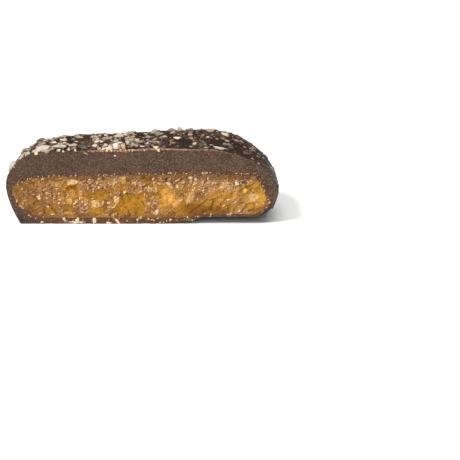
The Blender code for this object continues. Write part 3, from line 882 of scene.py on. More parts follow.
@dataclass
class ChocolateCoat:
    """The coat: the dipped outside, the cut through it, its cavity, and the chip at the right foot."""

    surface: CoatSurface
    cavity: Slab
    stations: int = 232
    rings: int = 120
    saw_margin: float = 0.4 * MM
    cut_depth: float = 0.6 * MM
    rim_width: float = 0.9 * MM
    smear_reach: float = 0.9
    block_length: float = 54 * MM
    block_height: float = 16.5 * MM
    chip_at_cut: tuple = ((20.2, -1.0), (20.9, 1.25), (23.6, 3.2), (25.0, 2.6), (26.2, -1.0))
    chip_behind: tuple = ((21.4, -1.0), (22.0, 0.0), (23.4, 0.7), (24.6, 0.5), (25.8, -1.0))
    chip_depths: tuple = (-1.0, 0.0, 4.2)

    def chip(self) -> bpy.types.Object:
        """Models the wedge that takes the chip out."""
        mesh = bpy.data.meshes.new("chip")
        points = []
        for depth, outline in zip(self.chip_depths, (self.chip_at_cut, self.chip_at_cut, self.chip_behind)):
            points += [(along * MM, depth * MM, above * MM) for along, above in outline]
        mesh.from_pydata(points, [], [])
        wedge = bpy.data.objects.new("chip", mesh)
        bpy.context.collection.objects.link(wedge)
        with editing(wedge):
            bpy.ops.mesh.convex_hull()
            bpy.ops.mesh.select_all(action="SELECT")
            bpy.ops.mesh.subdivide(number_cuts=5)
        move_points(wedge, lambda p: p + 0.16 * MM * noise.noise_vector(p / (0.8 * MM)))
        return wedge

    def roughened(self, place: Vector) -> Vector:
        """Adds the fine unevenness of the dipped surface to a point."""
        lumpy = 0.05 * MM * noise.noise(place / (1.9 * MM))
        swelling = lumpy * ramp_mm(place.z, 0.6, 2.5)
        out = Vector((place.x, place.y, place.z - 5 * MM)).normalized()
        return place + out * swelling

    def nibbled(self, place: Vector) -> Vector:
        """Makes the lower edge of the cut ragged."""
        bite = noise.noise(Vector((place.x, 5.0, 0.0)) / (1.5 * MM))
        bite += 0.5 * noise.noise(Vector((place.x, 9.0, 0.0)) / (0.5 * MM))
        bite = max(0.0, bite) * 0.5 * MM * ramp_mm(place.x, -24, -18)
        bite *= (1 - ramp_mm(place.z, 0.1, 1.0)) * (1 - ramp_mm(place.y, 0.2, 1.2))
        return place + Vector((0, 0, bite))

    def mark_cut(self, coat: bpy.types.Object) -> None:
        """Gives the cut its own finish, and stores how near each point is to the cut's top edge, where a
        pale smear and a painted highlight are laid, and to the film.
        """
        mesh = coat.data
        upper = [self.surface.point(around, 0.4 + i / 400) for around in (0.5, 0.0) for i in range(240)]
        upper.sort(key=lambda place: place.x)
        across, tops = [place.x for place in upper], [place.z for place in upper]
        rim_smear_and_highlight, film, smear = ([0.0] * len(mesh.vertices) for _ in range(3))
        for vertex in mesh.vertices:
            x, y, z = vertex.co
            if y > self.cut_depth:
                continue
            below = max(0.0, float(np.interp(x, across, tops)) - z)
            span = ramp_mm(x, -15, -8) * (1 - 0.4 * ramp_mm(x, 8, 19))
            # Painted highlight with a pale smear, strongest at the top edge of the cut.
            rim_smear_and_highlight[vertex.index] = span * max(0.0, 1 - below / self.rim_width)
            line = self.cavity.bottom + self.cavity.bow * self.cavity.bow_share(x, 0) + 0.1 * MM
            inside = ramp_mm(x, -22.5, -17) * (1 - ramp_mm(x, 22.5, 23.5))
            film[vertex.index] = inside * (1 - ramp(z, line, line + 0.3 * MM))
            low = 1 - ramp_mm(z, 2.5, 4.5)
            reach = (self.smear_reach + 0.5 * low) * MM
            smear[vertex.index] = (1 + 0.25 * low) * max(0.0, 1 - self.cavity.inward(x, z) / reach)
        store(coat, {"rim_smear_and_highlight": rim_smear_and_highlight, "film": film, "smear": smear})
        for polygon in mesh.polygons:
            faces_front = polygon.normal.y < -0.55 and polygon.center.y < 0.45 * MM
            polygon.material_index = 1 if faces_front else 0

    def build(self) -> bpy.types.Object:
        """Models and dresses the coat."""
        coat = self.surface.form.ball(
            "coat", self.stations, self.rings, lambda p: self.roughened(self.surface.rippled(p))
        )
        saw_off_front(coat, -self.saw_margin)
        carve(coat, face_block("knife", KnifeFace(), self.block_length, self.block_height))
        hollow = self.cavity.ball("hollow", TOFFEE_STATIONS, TOFFEE_RINGS, self.cavity.ragged)
        saw_off_front(hollow, plane_y=-3 * MM)
        carve(coat, hollow)
        carve(coat, self.chip())
        move_points(coat, self.nibbled)
        coat.data.materials.clear()
        coat.data.materials.append(DippedChocolate().material())
        coat.data.materials.append(CutChocolate().material())
        self.mark_cut(coat)
        shade(coat, degrees=38)
        coat.data.transform(Matrix.Translation(TO_FRAME))
        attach(coat, "root")
        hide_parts("chocolate_coat")
        return coat


# ---- toffee


@dataclass
class ToffeeCore:
    """The slab of toffee, snapped at the cut."""

    form: Slab
    face: SnappedFace
    side_reach: float = 0.55 * MM
    low_reach: float = 1.7 * MM
    low_from: float = 2.4 * MM
    low_to: float = 4.4 * MM

    def mark(self, toffee: bpy.types.Object) -> None:
        """Stores how near each point is to the chocolate round it, where shade is painted, and how the
        break left it.
        """
        marks: dict[str, list[float]] = {"edge": [], "clear": [], "depth": [], "shard": [], "crust": []}
        for vertex in toffee.data.vertices:
            x, _, z = vertex.co
            low = 1 - ramp(z, self.low_from, self.low_to)
            reach = self.side_reach + (self.low_reach - self.side_reach) * low
            reach += 0.3 * MM * ramp_mm(z, 7.5, 8.5)
            near = max(0.0, 1 - self.form.inward(x, z) / reach)
            dull = 0.5 * (1 - ramp_mm(x, -18, -10)) + 0.1 * (1 - ramp_mm(x, -23, -18))
            _, shard, crust = self.face.relief(x, z)
            calm = 0.5 * (1 - ramp_mm(x, -17, -11))
            shard, crust = shard + calm * (0.5 - shard), crust + calm * (0.5 - crust)
            shaded = 0.66 * ramp_mm(z, 7.2, 8.8)
            near *= 0.85 + 0.15 * ramp_mm(z, 4, 8) + 0.35 * ramp_mm(x, 19, 21)
            near *= 0.4 + 0.6 * max(low, ramp_mm(x, -22, -18))
            near = min(near, 1 - 0.36 * low) + 0.3 * low * near * (1 - ramp_mm(x, -20, -15))
            # The edge mark: painted shade near the chocolate and in a band under the top, and darker
            # towards the left end.
            marks["edge"].append(max(near, dull, shaded))
            marks["clear"].append(self.face.clear(x, z))
            marks["depth"].append(self.face.depth(x, z))
            marks["shard"].append(shard)
            marks["crust"].append(crust)
        store(toffee, marks)

    def build(self) -> bpy.types.Object:
        """Models and dresses the toffee."""
        toffee = self.form.ball("toffee", TOFFEE_STATIONS, TOFFEE_RINGS, self.form.ragged)
        saw_off_front(toffee, plane_y=-1.6 * MM)
        carve(toffee, face_block("snap", self.face, length=50 * MM, height=12 * MM))
        toffee.data.materials.clear()
        toffee.data.materials.append(AmberToffee().material())
        self.mark(toffee)
        shade(toffee, degrees=32)
        toffee.data.transform(Matrix.Translation(TO_FRAME))
        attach(toffee, "root")
        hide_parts("toffee_core")
        return toffee


# ---- pecans


@dataclass(frozen=True)
class Knapped:
    """A chopped piece of pecan, about 2 across: its points, its faces, and which of them keep the skin."""

    points: np.ndarray
    faces: tuple
    skinned: tuple


def knap(seed: int, fineness: int, cuts: int, roughness: float) -> Knapped:
    """Chops a piece: a ball is made uneven, its sides are pressed flat, and one plane is cut off it.

    Args:
        seed: what makes this piece differ from the others.
        fineness: the ball's subdivisions.
        cuts: how many sides are pressed flat.
        roughness: how uneven the ball is, as a share of its radius.

    Returns:
        The piece.
    """
    draw = random.Random(seed)
    bpy.ops.object.select_all(action="DESELECT")
    bpy.ops.mesh.primitive_ico_sphere_add(subdivisions=fineness, radius=1)
    piece = bpy.context.object
    offset = Vector((seed * 3.7, seed * 1.3, 0.0))
    flats = [Vector([draw.gauss(0, 1) for _ in range(3)]).normalized() for _ in range(cuts + 1)]
    depths = [draw.uniform(0.5, 0.85) for _ in flats]

    def pressed(place: Vector) -> Vector:
        place = place * (1 + roughness * noise.noise(place * 1.7 + offset) * 2)
        for away, depth in zip(flats[1:], depths[1:]):
            place -= away * max(0.0, place.dot(away) - depth) * 0.85
        return place * (1 + 0.22 * roughness * noise.noise(place * 5.1 + offset))

    move_points(piece, pressed)
    bpy.ops.object.mode_set(mode="EDIT")
    bpy.ops.mesh.select_all(action="SELECT")
    at, away = flats[0] * depths[0], flats[0]
    bpy.ops.mesh.bisect(plane_co=at, plane_no=away, use_fill=True, clear_outer=True)
    bpy.ops.object.mode_set(mode="OBJECT")
    mesh = piece.data
    faces = tuple(tuple(p.vertices) for p in mesh.polygons)
    skinned = tuple(all(p.normal.dot(flat) < 0.9 for flat in flats[:3]) for p in mesh.polygons)
    points = np.array([tuple(v.co) for v in mesh.vertices])
    points -= (points.max(axis=0) + points.min(axis=0)) / 2
    points /= points.max(axis=0)
    bpy.data.objects.remove(piece)
    return Knapped(points, faces, skinned)


class Pile:
    """Chopped pieces that are joined into one mesh as they are laid down."""

    def __init__(self) -> None:
        """Starts with nothing."""
        self.points: list[np.ndarray] = []
        self.faces: list[tuple] = []
        self.slots: list[int] = []
        self.tones: list[float] = []
        self.count = 0

    def add(self, piece: Knapped, placing: Matrix, tone: float, keep_skin: bool) -> None:
        """Lays down a copy of a piece.

        Args:
            piece: what to copy.
            placing: its size, turn and place.
            tone: its colour, from 0, pale, to 1, toasted.
            keep_skin: whether the skin stays on its outer faces.
        """
        turned = np.array(placing)
        moved = piece.points @ turned[:3, :3].T + turned[:3, 3]
        self.faces += [tuple(i + self.count for i in face) for face in piece.faces]
        self.slots += [1 if keep_skin and skin else 0 for skin in piece.skinned]
        self.tones += [tone] * len(piece.faces)
        self.points.append(moved)
        self.count += len(moved)

    def build(
        self,
        name: str,
        meat: bpy.types.Material,
        slot: str,
        node: str,
        skin: bpy.types.Material | None = None,
    ) -> bpy.types.Object:
        """Joins the pieces and dresses them.

        Args:
            name: the joined piece's name.
            meat: the finish of the cut faces.
            slot: the record's material slot; not used.
            node: the node that the pieces stand on.
            skin: the finish of the outer faces, where some pieces keep their skin.

        Returns:
            The object.
        """
        mesh = bpy.data.meshes.new(name)
        mesh.from_pydata(np.concatenate(self.points).tolist(), [], self.faces)
        mesh.materials.append(meat)
        if skin:
            mesh.materials.append(skin)
            mesh.polygons.foreach_set("material_index", self.slots)
        mesh.attributes.new("tone", "FLOAT", "FACE").data.foreach_set("value", self.tones)
        mesh.update()
        pile = bpy.data.objects.new(name, mesh)
        bpy.context.collection.objects.link(pile)
        shade(pile, degrees=30)
        pile.data.transform(Matrix.Translation(TO_FRAME))
        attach(pile, "root")
        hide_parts(node)
        return pile


def standing_on(point: Vector, normal: Vector, turn: float) -> Matrix:
    """Returns the matrix that stands a piece on a surface, its length along the bar but for the turn."""
    across = normal.cross(Vector((1, 0, 0)) if abs(normal.x) < 0.9 else Vector((0, 0, 1))).normalized()
    upright = Matrix((across.cross(normal), across, normal)).transposed().to_4x4()
    return Matrix.Translation(point) @ upright @ Matrix.Rotation(turn, 4, "Z")


class PecanKind(Enum):
    """What a chopped piece of pecan looks like."""

    CREAM = PecanMeat("cream", linear(188, 177, 160), linear(158, 142, 122), linear(104, 86, 68))
    BLUSH = PecanMeat("blush", linear(218, 199, 180), linear(182, 157, 134), linear(118, 93, 73))
    DUSTY = PecanMeat("dusty", linear(174, 162, 147), linear(130, 116, 101), linear(70, 55, 44))
    TOASTED = PecanMeat("toasted", linear(196, 156, 117), linear(160, 120, 86), linear(110, 80, 58))


@dataclass(frozen=True)
class Nut:
    """A chopped piece with a place of its own, in millimetres and degrees."""

    along: float
    behind: float
    length: float
    width: float
    height: float
    turn: float
    kind: PecanKind
    tone: float


CREAM, BLUSH, DUSTY, TOASTED = PecanKind
EDGE_NUTS = (
    Nut(-23.8, 0.9, 1.9, 1.5, 1.8, 80, DUSTY, 0.0), Nut(-21.9, 0.9, 1.3, 1.1, 0.9, 20, DUSTY, 0.2),
    Nut(-20.7, 1.0, 1.8, 1.3, 1.1, 75, CREAM, 0.3), Nut(-18.2, 1.2, 3.8, 2.0, 1.9, 8, CREAM, 0.15),
    Nut(-17.6, 0.4, 2.5, 0.9, 0.9, -6, CREAM, 0.6), Nut(-15.4, 2.0, 3.3, 1.8, 1.6, -10, CREAM, 0.25),
    Nut(-18.9, 4.6, 2.2, 1.4, 1.0, 40, DUSTY, 0.3), Nut(-17.9, 6.6, 0.9, 0.7, 0.9, 10, TOASTED, 0.8),
    Nut(-16.2, 8.0, 1.6, 1.2, 0.9, 30, CREAM, 0.4), Nut(-14.9, 6.8, 1.7, 1.2, 0.8, -30, BLUSH, 0.5),
    Nut(-12.8, 3.4, 2.0, 1.2, 0.8, 5, DUSTY, 0.1), Nut(-12.4, 8.6, 2.2, 1.4, 0.8, 0, CREAM, 0.5),
    Nut(-12.3, 1.3, 1.5, 1.0, 1.1, 60, DUSTY, 0.4), Nut(-10.7, 2.4, 2.1, 1.3, 0.9, 15, DUSTY, 1.0),
    Nut(-8.6, 2.6, 1.3, 1.0, 0.8, 15, BLUSH, 0.3), Nut(-8.5, 5.0, 1.4, 1.1, 0.9, 40, BLUSH, 0.2),
    Nut(-6.9, 0.4, 0.8, 0.8, 0.8, 0, BLUSH, 0.0), Nut(-5.9, 0.6, 1.6, 1.1, 1.7, 15, BLUSH, 0.0),
    Nut(-4.6, 1.0, 1.6, 1.3, 2.8, -15, BLUSH, 0.0), Nut(-3.2, 0.6, 1.2, 0.8, 2.9, -12, TOASTED, 0.0),
    Nut(-7.0, 7.4, 2.4, 1.7, 1.1, 30, CREAM, 0.5), Nut(-4.8, 8.8, 2.2, 1.5, 1.0, 10, BLUSH, 0.5),
    Nut(-2.7, 6.8, 2.4, 1.6, 1.3, -12, TOASTED, 0.4), Nut(-0.8, 4.6, 2.1, 1.3, 0.8, 25, DUSTY, 0.3),
    Nut(-1.5, 2.6, 1.7, 1.0, 0.7, 0, DUSTY, 0.3), Nut(0.7, 7.4, 1.6, 1.2, 0.9, 0, DUSTY, 0.4),
    Nut(0.9, 3.2, 0.7, 0.7, 0.8, 0, CREAM, 0.0), Nut(2.7, 0.5, 1.3, 1.2, 0.9, 0, CREAM, 0.0),
    Nut(2.9, 3.6, 0.9, 0.8, 0.7, 10, DUSTY, 0.1), Nut(2.6, 8.6, 1.5, 1.1, 0.9, -30, DUSTY, 0.4),
    Nut(3.8, 6.6, 1.4, 0.9, 0.6, 5, DUSTY, 0.2), Nut(5.3, 8.8, 1.3, 1.0, 0.9, 80, BLUSH, 0.3),
    Nut(6.4, 6.0, 1.7, 1.1, 0.8, 12, BLUSH, 0.2), Nut(8.8, 6.2, 1.6, 1.1, 0.7, -35, TOASTED, 0.5),
    Nut(9.6, 3.2, 1.1, 0.9, 0.9, 50, BLUSH, 0.1), Nut(11.6, 0.9, 1.1, 0.7, 0.5, 0, DUSTY, 0.1),
    Nut(14.4, 1.2, 2.9, 1.2, 0.8, 4, DUSTY, 0.0), Nut(12.0, 6.4, 0.8, 0.7, 0.7, 0, CREAM, 0.2),
    Nut(15.2, 8.2, 1.8, 1.3, 0.9, -40, BLUSH, 0.4),
)
RIDGE_NUTS = (
    Nut(-23.5, 0.9, 2.3, 1.7, 2.3, 80, DUSTY, 0.0), Nut(-2.6, 10.3, 2.2, 1.4, 1.2, 5, CREAM, 0.6),
    Nut(1.8, 10.2, 1.7, 1.3, 1.4, 10, DUSTY, 0.3), Nut(5.1, 10.3, 1.5, 1.2, 1.5, -15, DUSTY, 0.4),
    Nut(6.5, 10.4, 1.3, 1.1, 1.8, 20, DUSTY, 0.2), Nut(8.2, 10.3, 2.0, 1.2, 1.5, 0, DUSTY, 0.4),
    Nut(10.3, 10.2, 1.6, 1.1, 1.2, 12, DUSTY, 0.5), Nut(12.6, 10.4, 2.6, 1.3, 1.3, -5, DUSTY, 0.3),
)


@dataclass
class PecanTopping:
    """The chopped pecans on the chocolate, from the largest chips to fine crumbs."""

    surface: CoatSurface
    strewn: int = 165
    strewn_seed: int = 11
    smallest: float = 1.1 * MM
    spread: float = 1.9 * MM
    skew: float = 2.2
    gap: float = 0.62
    finer_right: float = 0.34
    flatter_right: float = 0.35
    thicker_right: float = 0.9
    cut_margin: float = 0.6 * MM
    sunk: float = 0.12
    chips: int = 470
    crumbs: int = 1100
    most_area: float = 0.0042
    shown: float = 0.92
    bare: tuple = (
        Patch(-10.6, 6.4, 2.6, 1.8), Patch(-13.6, 5.4, 1.4, 1.0), Patch(-1.7, 1.9, 1.7, 1.3),
        Patch(-0.6, 8.4, 2.0, 1.4), Patch(4.4, 1.9, 2.0, 0.9), Patch(8.0, 4.6, 1.7, 1.1),
        Patch(13.4, 4.4, 2.2, 1.5), Patch(9.4, 0.9, 1.6, 0.8),
    )
    piles: dict = field(default_factory=lambda: {kind: Pile() for kind in PecanKind})
    taken: list = field(default_factory=list)

    def density(self, point: Vector) -> float:
        """Returns how thickly the pecans lie at a point, from 0 to 1."""
        clumped = 0.55 + 0.9 * noise.noise(Vector((point.x, point.y, 0.0)) / (4.5 * MM))
        sparse = 1 - 0.68 * ramp_mm(point.x, -2, 5)
        sparse *= 1 - 0.92 * max(patch.share(point.x, point.y) for patch in self.bare)
        clumped = min(1.0, max(0.15, clumped + 0.25))
        return 0.06 + 0.94 * ramp_mm(point.z, 8.5, 12.5) * sparse * clumped

    def draw_place(
        self, draw: random.Random, low: float, span: float
    ) -> tuple[Vector, Vector, float, float]:
        """Draws a place on the outside: its point, normal and area, and the area that it has to have."""
        around, up, keep = draw.random() / 2, low + draw.random() * span, draw.random()
        return *self.surface.stand(around, up), keep * self.most_area

    def strew_large(self) -> list[tuple[Vector, Vector, float, float, float, float]]:
        """Finds where the larger pieces lie.

        Returns:
            The point, normal, length, width, height and turn of each piece.
        """
        draw = random.Random(self.strewn_seed)
        lengths = [self.smallest + self.spread * draw.random() ** self.skew for _ in range(self.strewn)]
        placed = []
        for length in sorted(lengths, reverse=True):
            for _ in range(4000):
                point, normal, area, asked = self.draw_place(draw, Side.FOOT_AT + 0.05, 0.76)
                crowded = any((point - at).length < self.gap * (length + size) for at, size in self.taken)
                off_cut = point.y > self.cut_margin + length / 2
                above_table = point.z > length * 0.75
                kept = asked < area * self.density(point)
                if kept and off_cut and above_table and not crowded:
                    right = ramp_mm(point.x, -4, 4)
                    fine = length * (1 - self.finer_right * right)
                    width = fine * (0.62 + 0.25 * draw.random())
                    height = fine * (0.42 + 0.25 * draw.random()) * (1 - self.flatter_right * right)
                    placed.append((point, normal, fine, width, height, draw.random() * 2 * math.pi))
                    self.taken.append((point, length))
                    break
        return placed

    def lay(
        self,
        piece: Knapped,
        point: Vector,
        normal: Vector,
        sizes: tuple[float, float, float],
        turn: float,
        kind: PecanKind,
        tone: float,
    ) -> None:
        """Lays a piece on the chocolate, sunk a little into it."""
        length, width, height = sizes
        placing = standing_on(point - normal * height * self.sunk, normal, turn)
        scale = Matrix.Diagonal((length / 2, width / 2, height / 2, 1))
        self.piles[kind].add(piece, placing @ scale, tone, kind is PecanKind.TOASTED)

    def lay_each(self, nuts: tuple, shapes: list, draw: random.Random) -> None:
        """Lays the nuts that have places of their own."""
        for nut in nuts:
            point, normal = self.surface.above_plan(nut.along * MM, nut.behind * MM)
            self.taken.append((point, nut.length * MM))
            sizes = (nut.length * MM, nut.width * MM, nut.height * MM)
            self.lay(draw.choice(shapes), point, normal, sizes, math.radians(nut.turn), nut.kind, nut.tone)

    def any_kind(self, draw: random.Random, along: float) -> tuple[PecanKind, float]:
        """Draws a kind and a tone as often as that part of the bar has them, darker and greyer towards the
        right end as painted shade.
        """
        right = ramp_mm(along, -4, 6)
        middle = ramp_mm(along, -10, -8) * (1 - ramp_mm(along, -3, 1))
        # Painted shade: pieces towards the right end are darker and more are grey; a band from -15 to -10
        # mm along is darker too.
        dull = 0.72 * right + 0.7 * ramp_mm(along, -15, -13) * (1 - ramp_mm(along, -10, -8))
        weights = (0.38 - 0.22 * right, 0.22 + 0.5 * middle, 0.36 + 0.22 * right, 0.015)
        tone = draw.random() * (1 - 0.55 * middle)
        return draw.choices(list(PecanKind), weights=weights)[0], dull + tone * (1 - dull)

    def strew_small(self, count: int, smallest: float, largest: float, shapes: list, seed: int) -> None:
        """Strews pieces that are too small to be told apart one by one."""
        draw = random.Random(seed)
        laid = 0
        while laid < count:
            point, normal, area, asked = self.draw_place(draw, Side.FOOT_AT, 0.86)
            share = self.density(point) * (1 + self.thicker_right * ramp_mm(point.x, -2, 5))
            if asked > area * share or point.y < 0.25 * MM or point.z < 0.5 * MM:
                continue
            length = smallest + (largest - smallest) * draw.random() ** 1.8
            flatter = 1 - self.flatter_right * ramp_mm(point.x, -4, 4)
            sizes = (length, length * draw.uniform(0.55, 0.95), length * draw.uniform(0.4, 0.8) * flatter)
            turn = draw.uniform(0, 2 * math.pi)
            self.lay(draw.choice(shapes), point, normal, sizes, turn, *self.any_kind(draw, point.x))
            laid += 1

    def build(self) -> list[bpy.types.Object]:
        """Models and dresses the topping, one piece for each kind."""
        large = [knap(100 + i, fineness=3, cuts=5, roughness=0.35) for i in range(8)]
        middle = [knap(200 + i, fineness=2, cuts=4, roughness=0.3) for i in range(14)]
        small = [knap(300 + i, fineness=1, cuts=2, roughness=0.3) for i in range(10)]
        draw = random.Random(21)
        self.lay_each(EDGE_NUTS, large, draw)
        for point, normal, length, width, height, turn in self.strew_large():
            sizes = (length * self.shown, width * self.shown, height * self.shown)
            self.lay(draw.choice(middle), point, normal, sizes, turn, *self.any_kind(draw, point.x))
        self.strew_small(self.chips, 0.5 * MM, 1.2 * MM, middle, seed=31)
        self.strew_small(self.crumbs, 0.18 * MM, 0.5 * MM, small, seed=32)
        self.lay_each(RIDGE_NUTS, large, draw)
        skin = PecanSkin().material()
        made = []
        for kind, pile in self.piles.items():
            name, meat = "pecans_" + kind.value.name, kind.value.material()
            made.append(pile.build(name, meat, "dark_chocolate", "chocolate_coat", skin))
        return made


class ChipKind(Enum):
    """What a piece in the break is made of."""

    NUT = ChipFlesh("chip_nut", linear(226, 188, 136), linear(172, 127, 66), 1.3, 1.9)
    AMBER = ChipFlesh("chip_amber", linear(246, 188, 76), linear(190, 132, 46), 0.75, 1.5)
    CRUMB = ChipFlesh("chip_crumb", linear(240, 216, 188), linear(190, 150, 116), 1.5, 1.9)
    # Pale crumbs that also serve as painted glints.
    GRIT = ChipFlesh("chip_grit_and_glints", linear(246, 216, 182), linear(206, 152, 104), 1.5, 1.9)


NUT, AMBER, CRUMB, GRIT = ChipKind


@dataclass(frozen=True)
class Chip:
    """A piece that shows in the cut, by its outline: along and above by turns, in millimetres."""

    kind: ChipKind
    tone: float
    places: tuple

    @cached_property
    def outline(self) -> list[tuple[float, float]]:
        """The points of the outline."""
        return list(zip(self.places[::2], self.places[1::2]))

    @cached_property
    def middle(self) -> tuple[float, float]:
        """The middle of the outline."""
        count = len(self.outline)
        return sum(x for x, _ in self.outline) / count, sum(z for _, z in self.outline) / count

    def reach(self, turn: float) -> float:
        """Returns how far the outline lies from its middle in one direction, in millimetres."""
        middle_x, middle_z = self.middle
        best = 0.0
        towards = Vector((math.cos(turn), math.sin(turn)))
        for i, (x1, z1) in enumerate(self.outline):
            x2, z2 = self.outline[(i + 1) % len(self.outline)]
            start, side = Vector((x1 - middle_x, z1 - middle_z)), Vector((x2 - x1, z2 - z1))
            flat = towards.x * side.y - towards.y * side.x
            if abs(flat) < 1e-9:
                continue
            away = (start.x * side.y - start.y * side.x) / flat
            share = (start.x * towards.y - start.y * towards.x) / flat
            if away > 0 and -1e-6 <= share <= 1 + 1e-6:
                best = max(best, away)
        return best

    def covers(self, along: float, above: float) -> bool:
        """Tells whether a place, in metres, lies within the outline."""
        x, z = along / MM - self.middle[0], above / MM - self.middle[1]
        return math.hypot(x, z) < self.reach(math.atan2(z, x))


CHIPS_IN_TOFFEE = (
    Chip(NUT, 0.05, (-14, 8.5, -13.6, 8.7, -12.1, 8.6, -11.8, 8.4, -11.2, 8.2, -11.8, 7.8, -12.5, 7.4,
        -13.8, 7.4)),
    Chip(AMBER, 1.1, (-13.43, 6.62, -12.7, 6.91, -11.96, 6.43, -11.6, 5.65, -11.96, 4.88, -12.88, 4.79,
        -13.61, 5.27, -13.79, 6.04)),
    Chip(NUT, 0.3, (-9.6, 4.1, -9.2, 4.7, -8.5, 4.8, -7.9, 4.5, -7.7, 3.7, -7.1, 3.3, -8.3, 3.2,
        -9.4, 3.2)),
    Chip(NUT, 0.2, (-5.18, 5.46, -4.63, 5.65, -4.23, 5.27, -4.18, 4.5, -4.56, 3.69, -5.09, 3.76, -5.4, 4.5,
        -5.44, 5.08)),
    Chip(NUT, 0.9, (-4.18, 9.13, -3.17, 9.32, -2.77, 8.74, -2.89, 7.78, -3.54, 7.33, -4.16, 7.97)),
    Chip(NUT, 0.35, (0.49, 7.2, 1.23, 7.53, 1.85, 7.01, 1.96, 6.23, 1.23, 5.89, 0.49, 6.1, 0.16, 6.62)),
    Chip(AMBER, 0.35, (4.16, 6.04, 5.26, 6.37, 6.17, 5.85, 6.39, 4.69, 5.81, 3.72, 5.07, 3.26, 4.45, 3.92,
        4.12, 5.08)),
    Chip(NUT, 0.6, (7.5, 6.2, 8.4, 6, 9.2, 6.4, 9.9, 6.3, 9.9, 5.2, 9.3, 4.4, 8.6, 3.7, 7.9, 3.6,
        7.6, 4.6)),
    Chip(NUT, 0.2, (19.3, 5.7, 19.9, 6.2, 21.2, 5.7, 21.6, 4.9, 21, 4.4, 20.6, 4, 19.9, 4.2, 19.3, 4.9)),
    Chip(CRUMB, 0, (16.98, 8.16, 17.53, 8.43, 17.9, 8.09, 17.83, 7.58, 17.24, 7.39, 16.91, 7.7)),
    Chip(CRUMB, 0.3, (5.99, 7.68, 6.45, 7.86, 6.8, 7.2, 6.54, 6.54, 6.14, 6.81)),
    Chip(CRUMB, 0.4, (2.03, 2.18, 2.51, 2.8, 2.99, 2.57, 2.84, 1.83, 2.14, 1.56)),
    Chip(CRUMB, 0.2, (14.38, 6.23, 14.78, 6.47, 14.93, 5.65, 14.45, 5.38)),
    Chip(CRUMB, 0.2, (-6.65, 4.23, -6.1, 4.34, -5.81, 3.92, -6.21, 3.57, -6.65, 3.76)),
    Chip(CRUMB, 0.2, (0.79, 4.07, 1.3, 4.19, 1.59, 3.84, 1.23, 3.49, 0.82, 3.69)),
    Chip(CRUMB, 0.4, (-19.47, 5.38, -18.96, 5.54, -18.67, 4.88, -19.11, 4.5, -19.47, 4.81)),
    Chip(NUT, 0.5, (2.25, 7.12, 2.69, 7.2, 2.88, 6.31, 2.51, 6.04, 2.25, 6.43)),
    Chip(NUT, 0.8, (-5.92, 1.87, -5.37, 2.14, -5, 1.6, -5.4, 1.02, -5.92, 1.22)),
    Chip(CRUMB, 0.4, (8.37, 9.13, 8.92, 9.4, 9.29, 8.94, 8.92, 8.36, 8.48, 8.55)),
    Chip(CRUMB, 0.5, (9.36, 8.94, 10.02, 9.01, 10.09, 8.36, 9.47, 8.28)),
    Chip(AMBER, 0.3, (21.93, 5.46, 22.66, 5.15, 22.74, 4.19, 22.04, 4.23)),
    Chip(AMBER, 0.5, (18.08, 7.01, 19, 7.16, 19.66, 6.62, 19.18, 5.85, 18.27, 5.73)),
    Chip(CRUMB, 0.5, (4.34, 8.05, 5.07, 8.16, 5.51, 7.78, 4.89, 7.47, 4.42, 7.58)),
    Chip(CRUMB, 0.6, (20.83, 4.03, 21.27, 4.11, 21.2, 3.53, 20.83, 3.53)),
    Chip(CRUMB, 0.5, (-18.19, 4, -17.72, 3.61, -17.2, 3.42, -17.28, 3.03, -17.9, 3.26)),
)
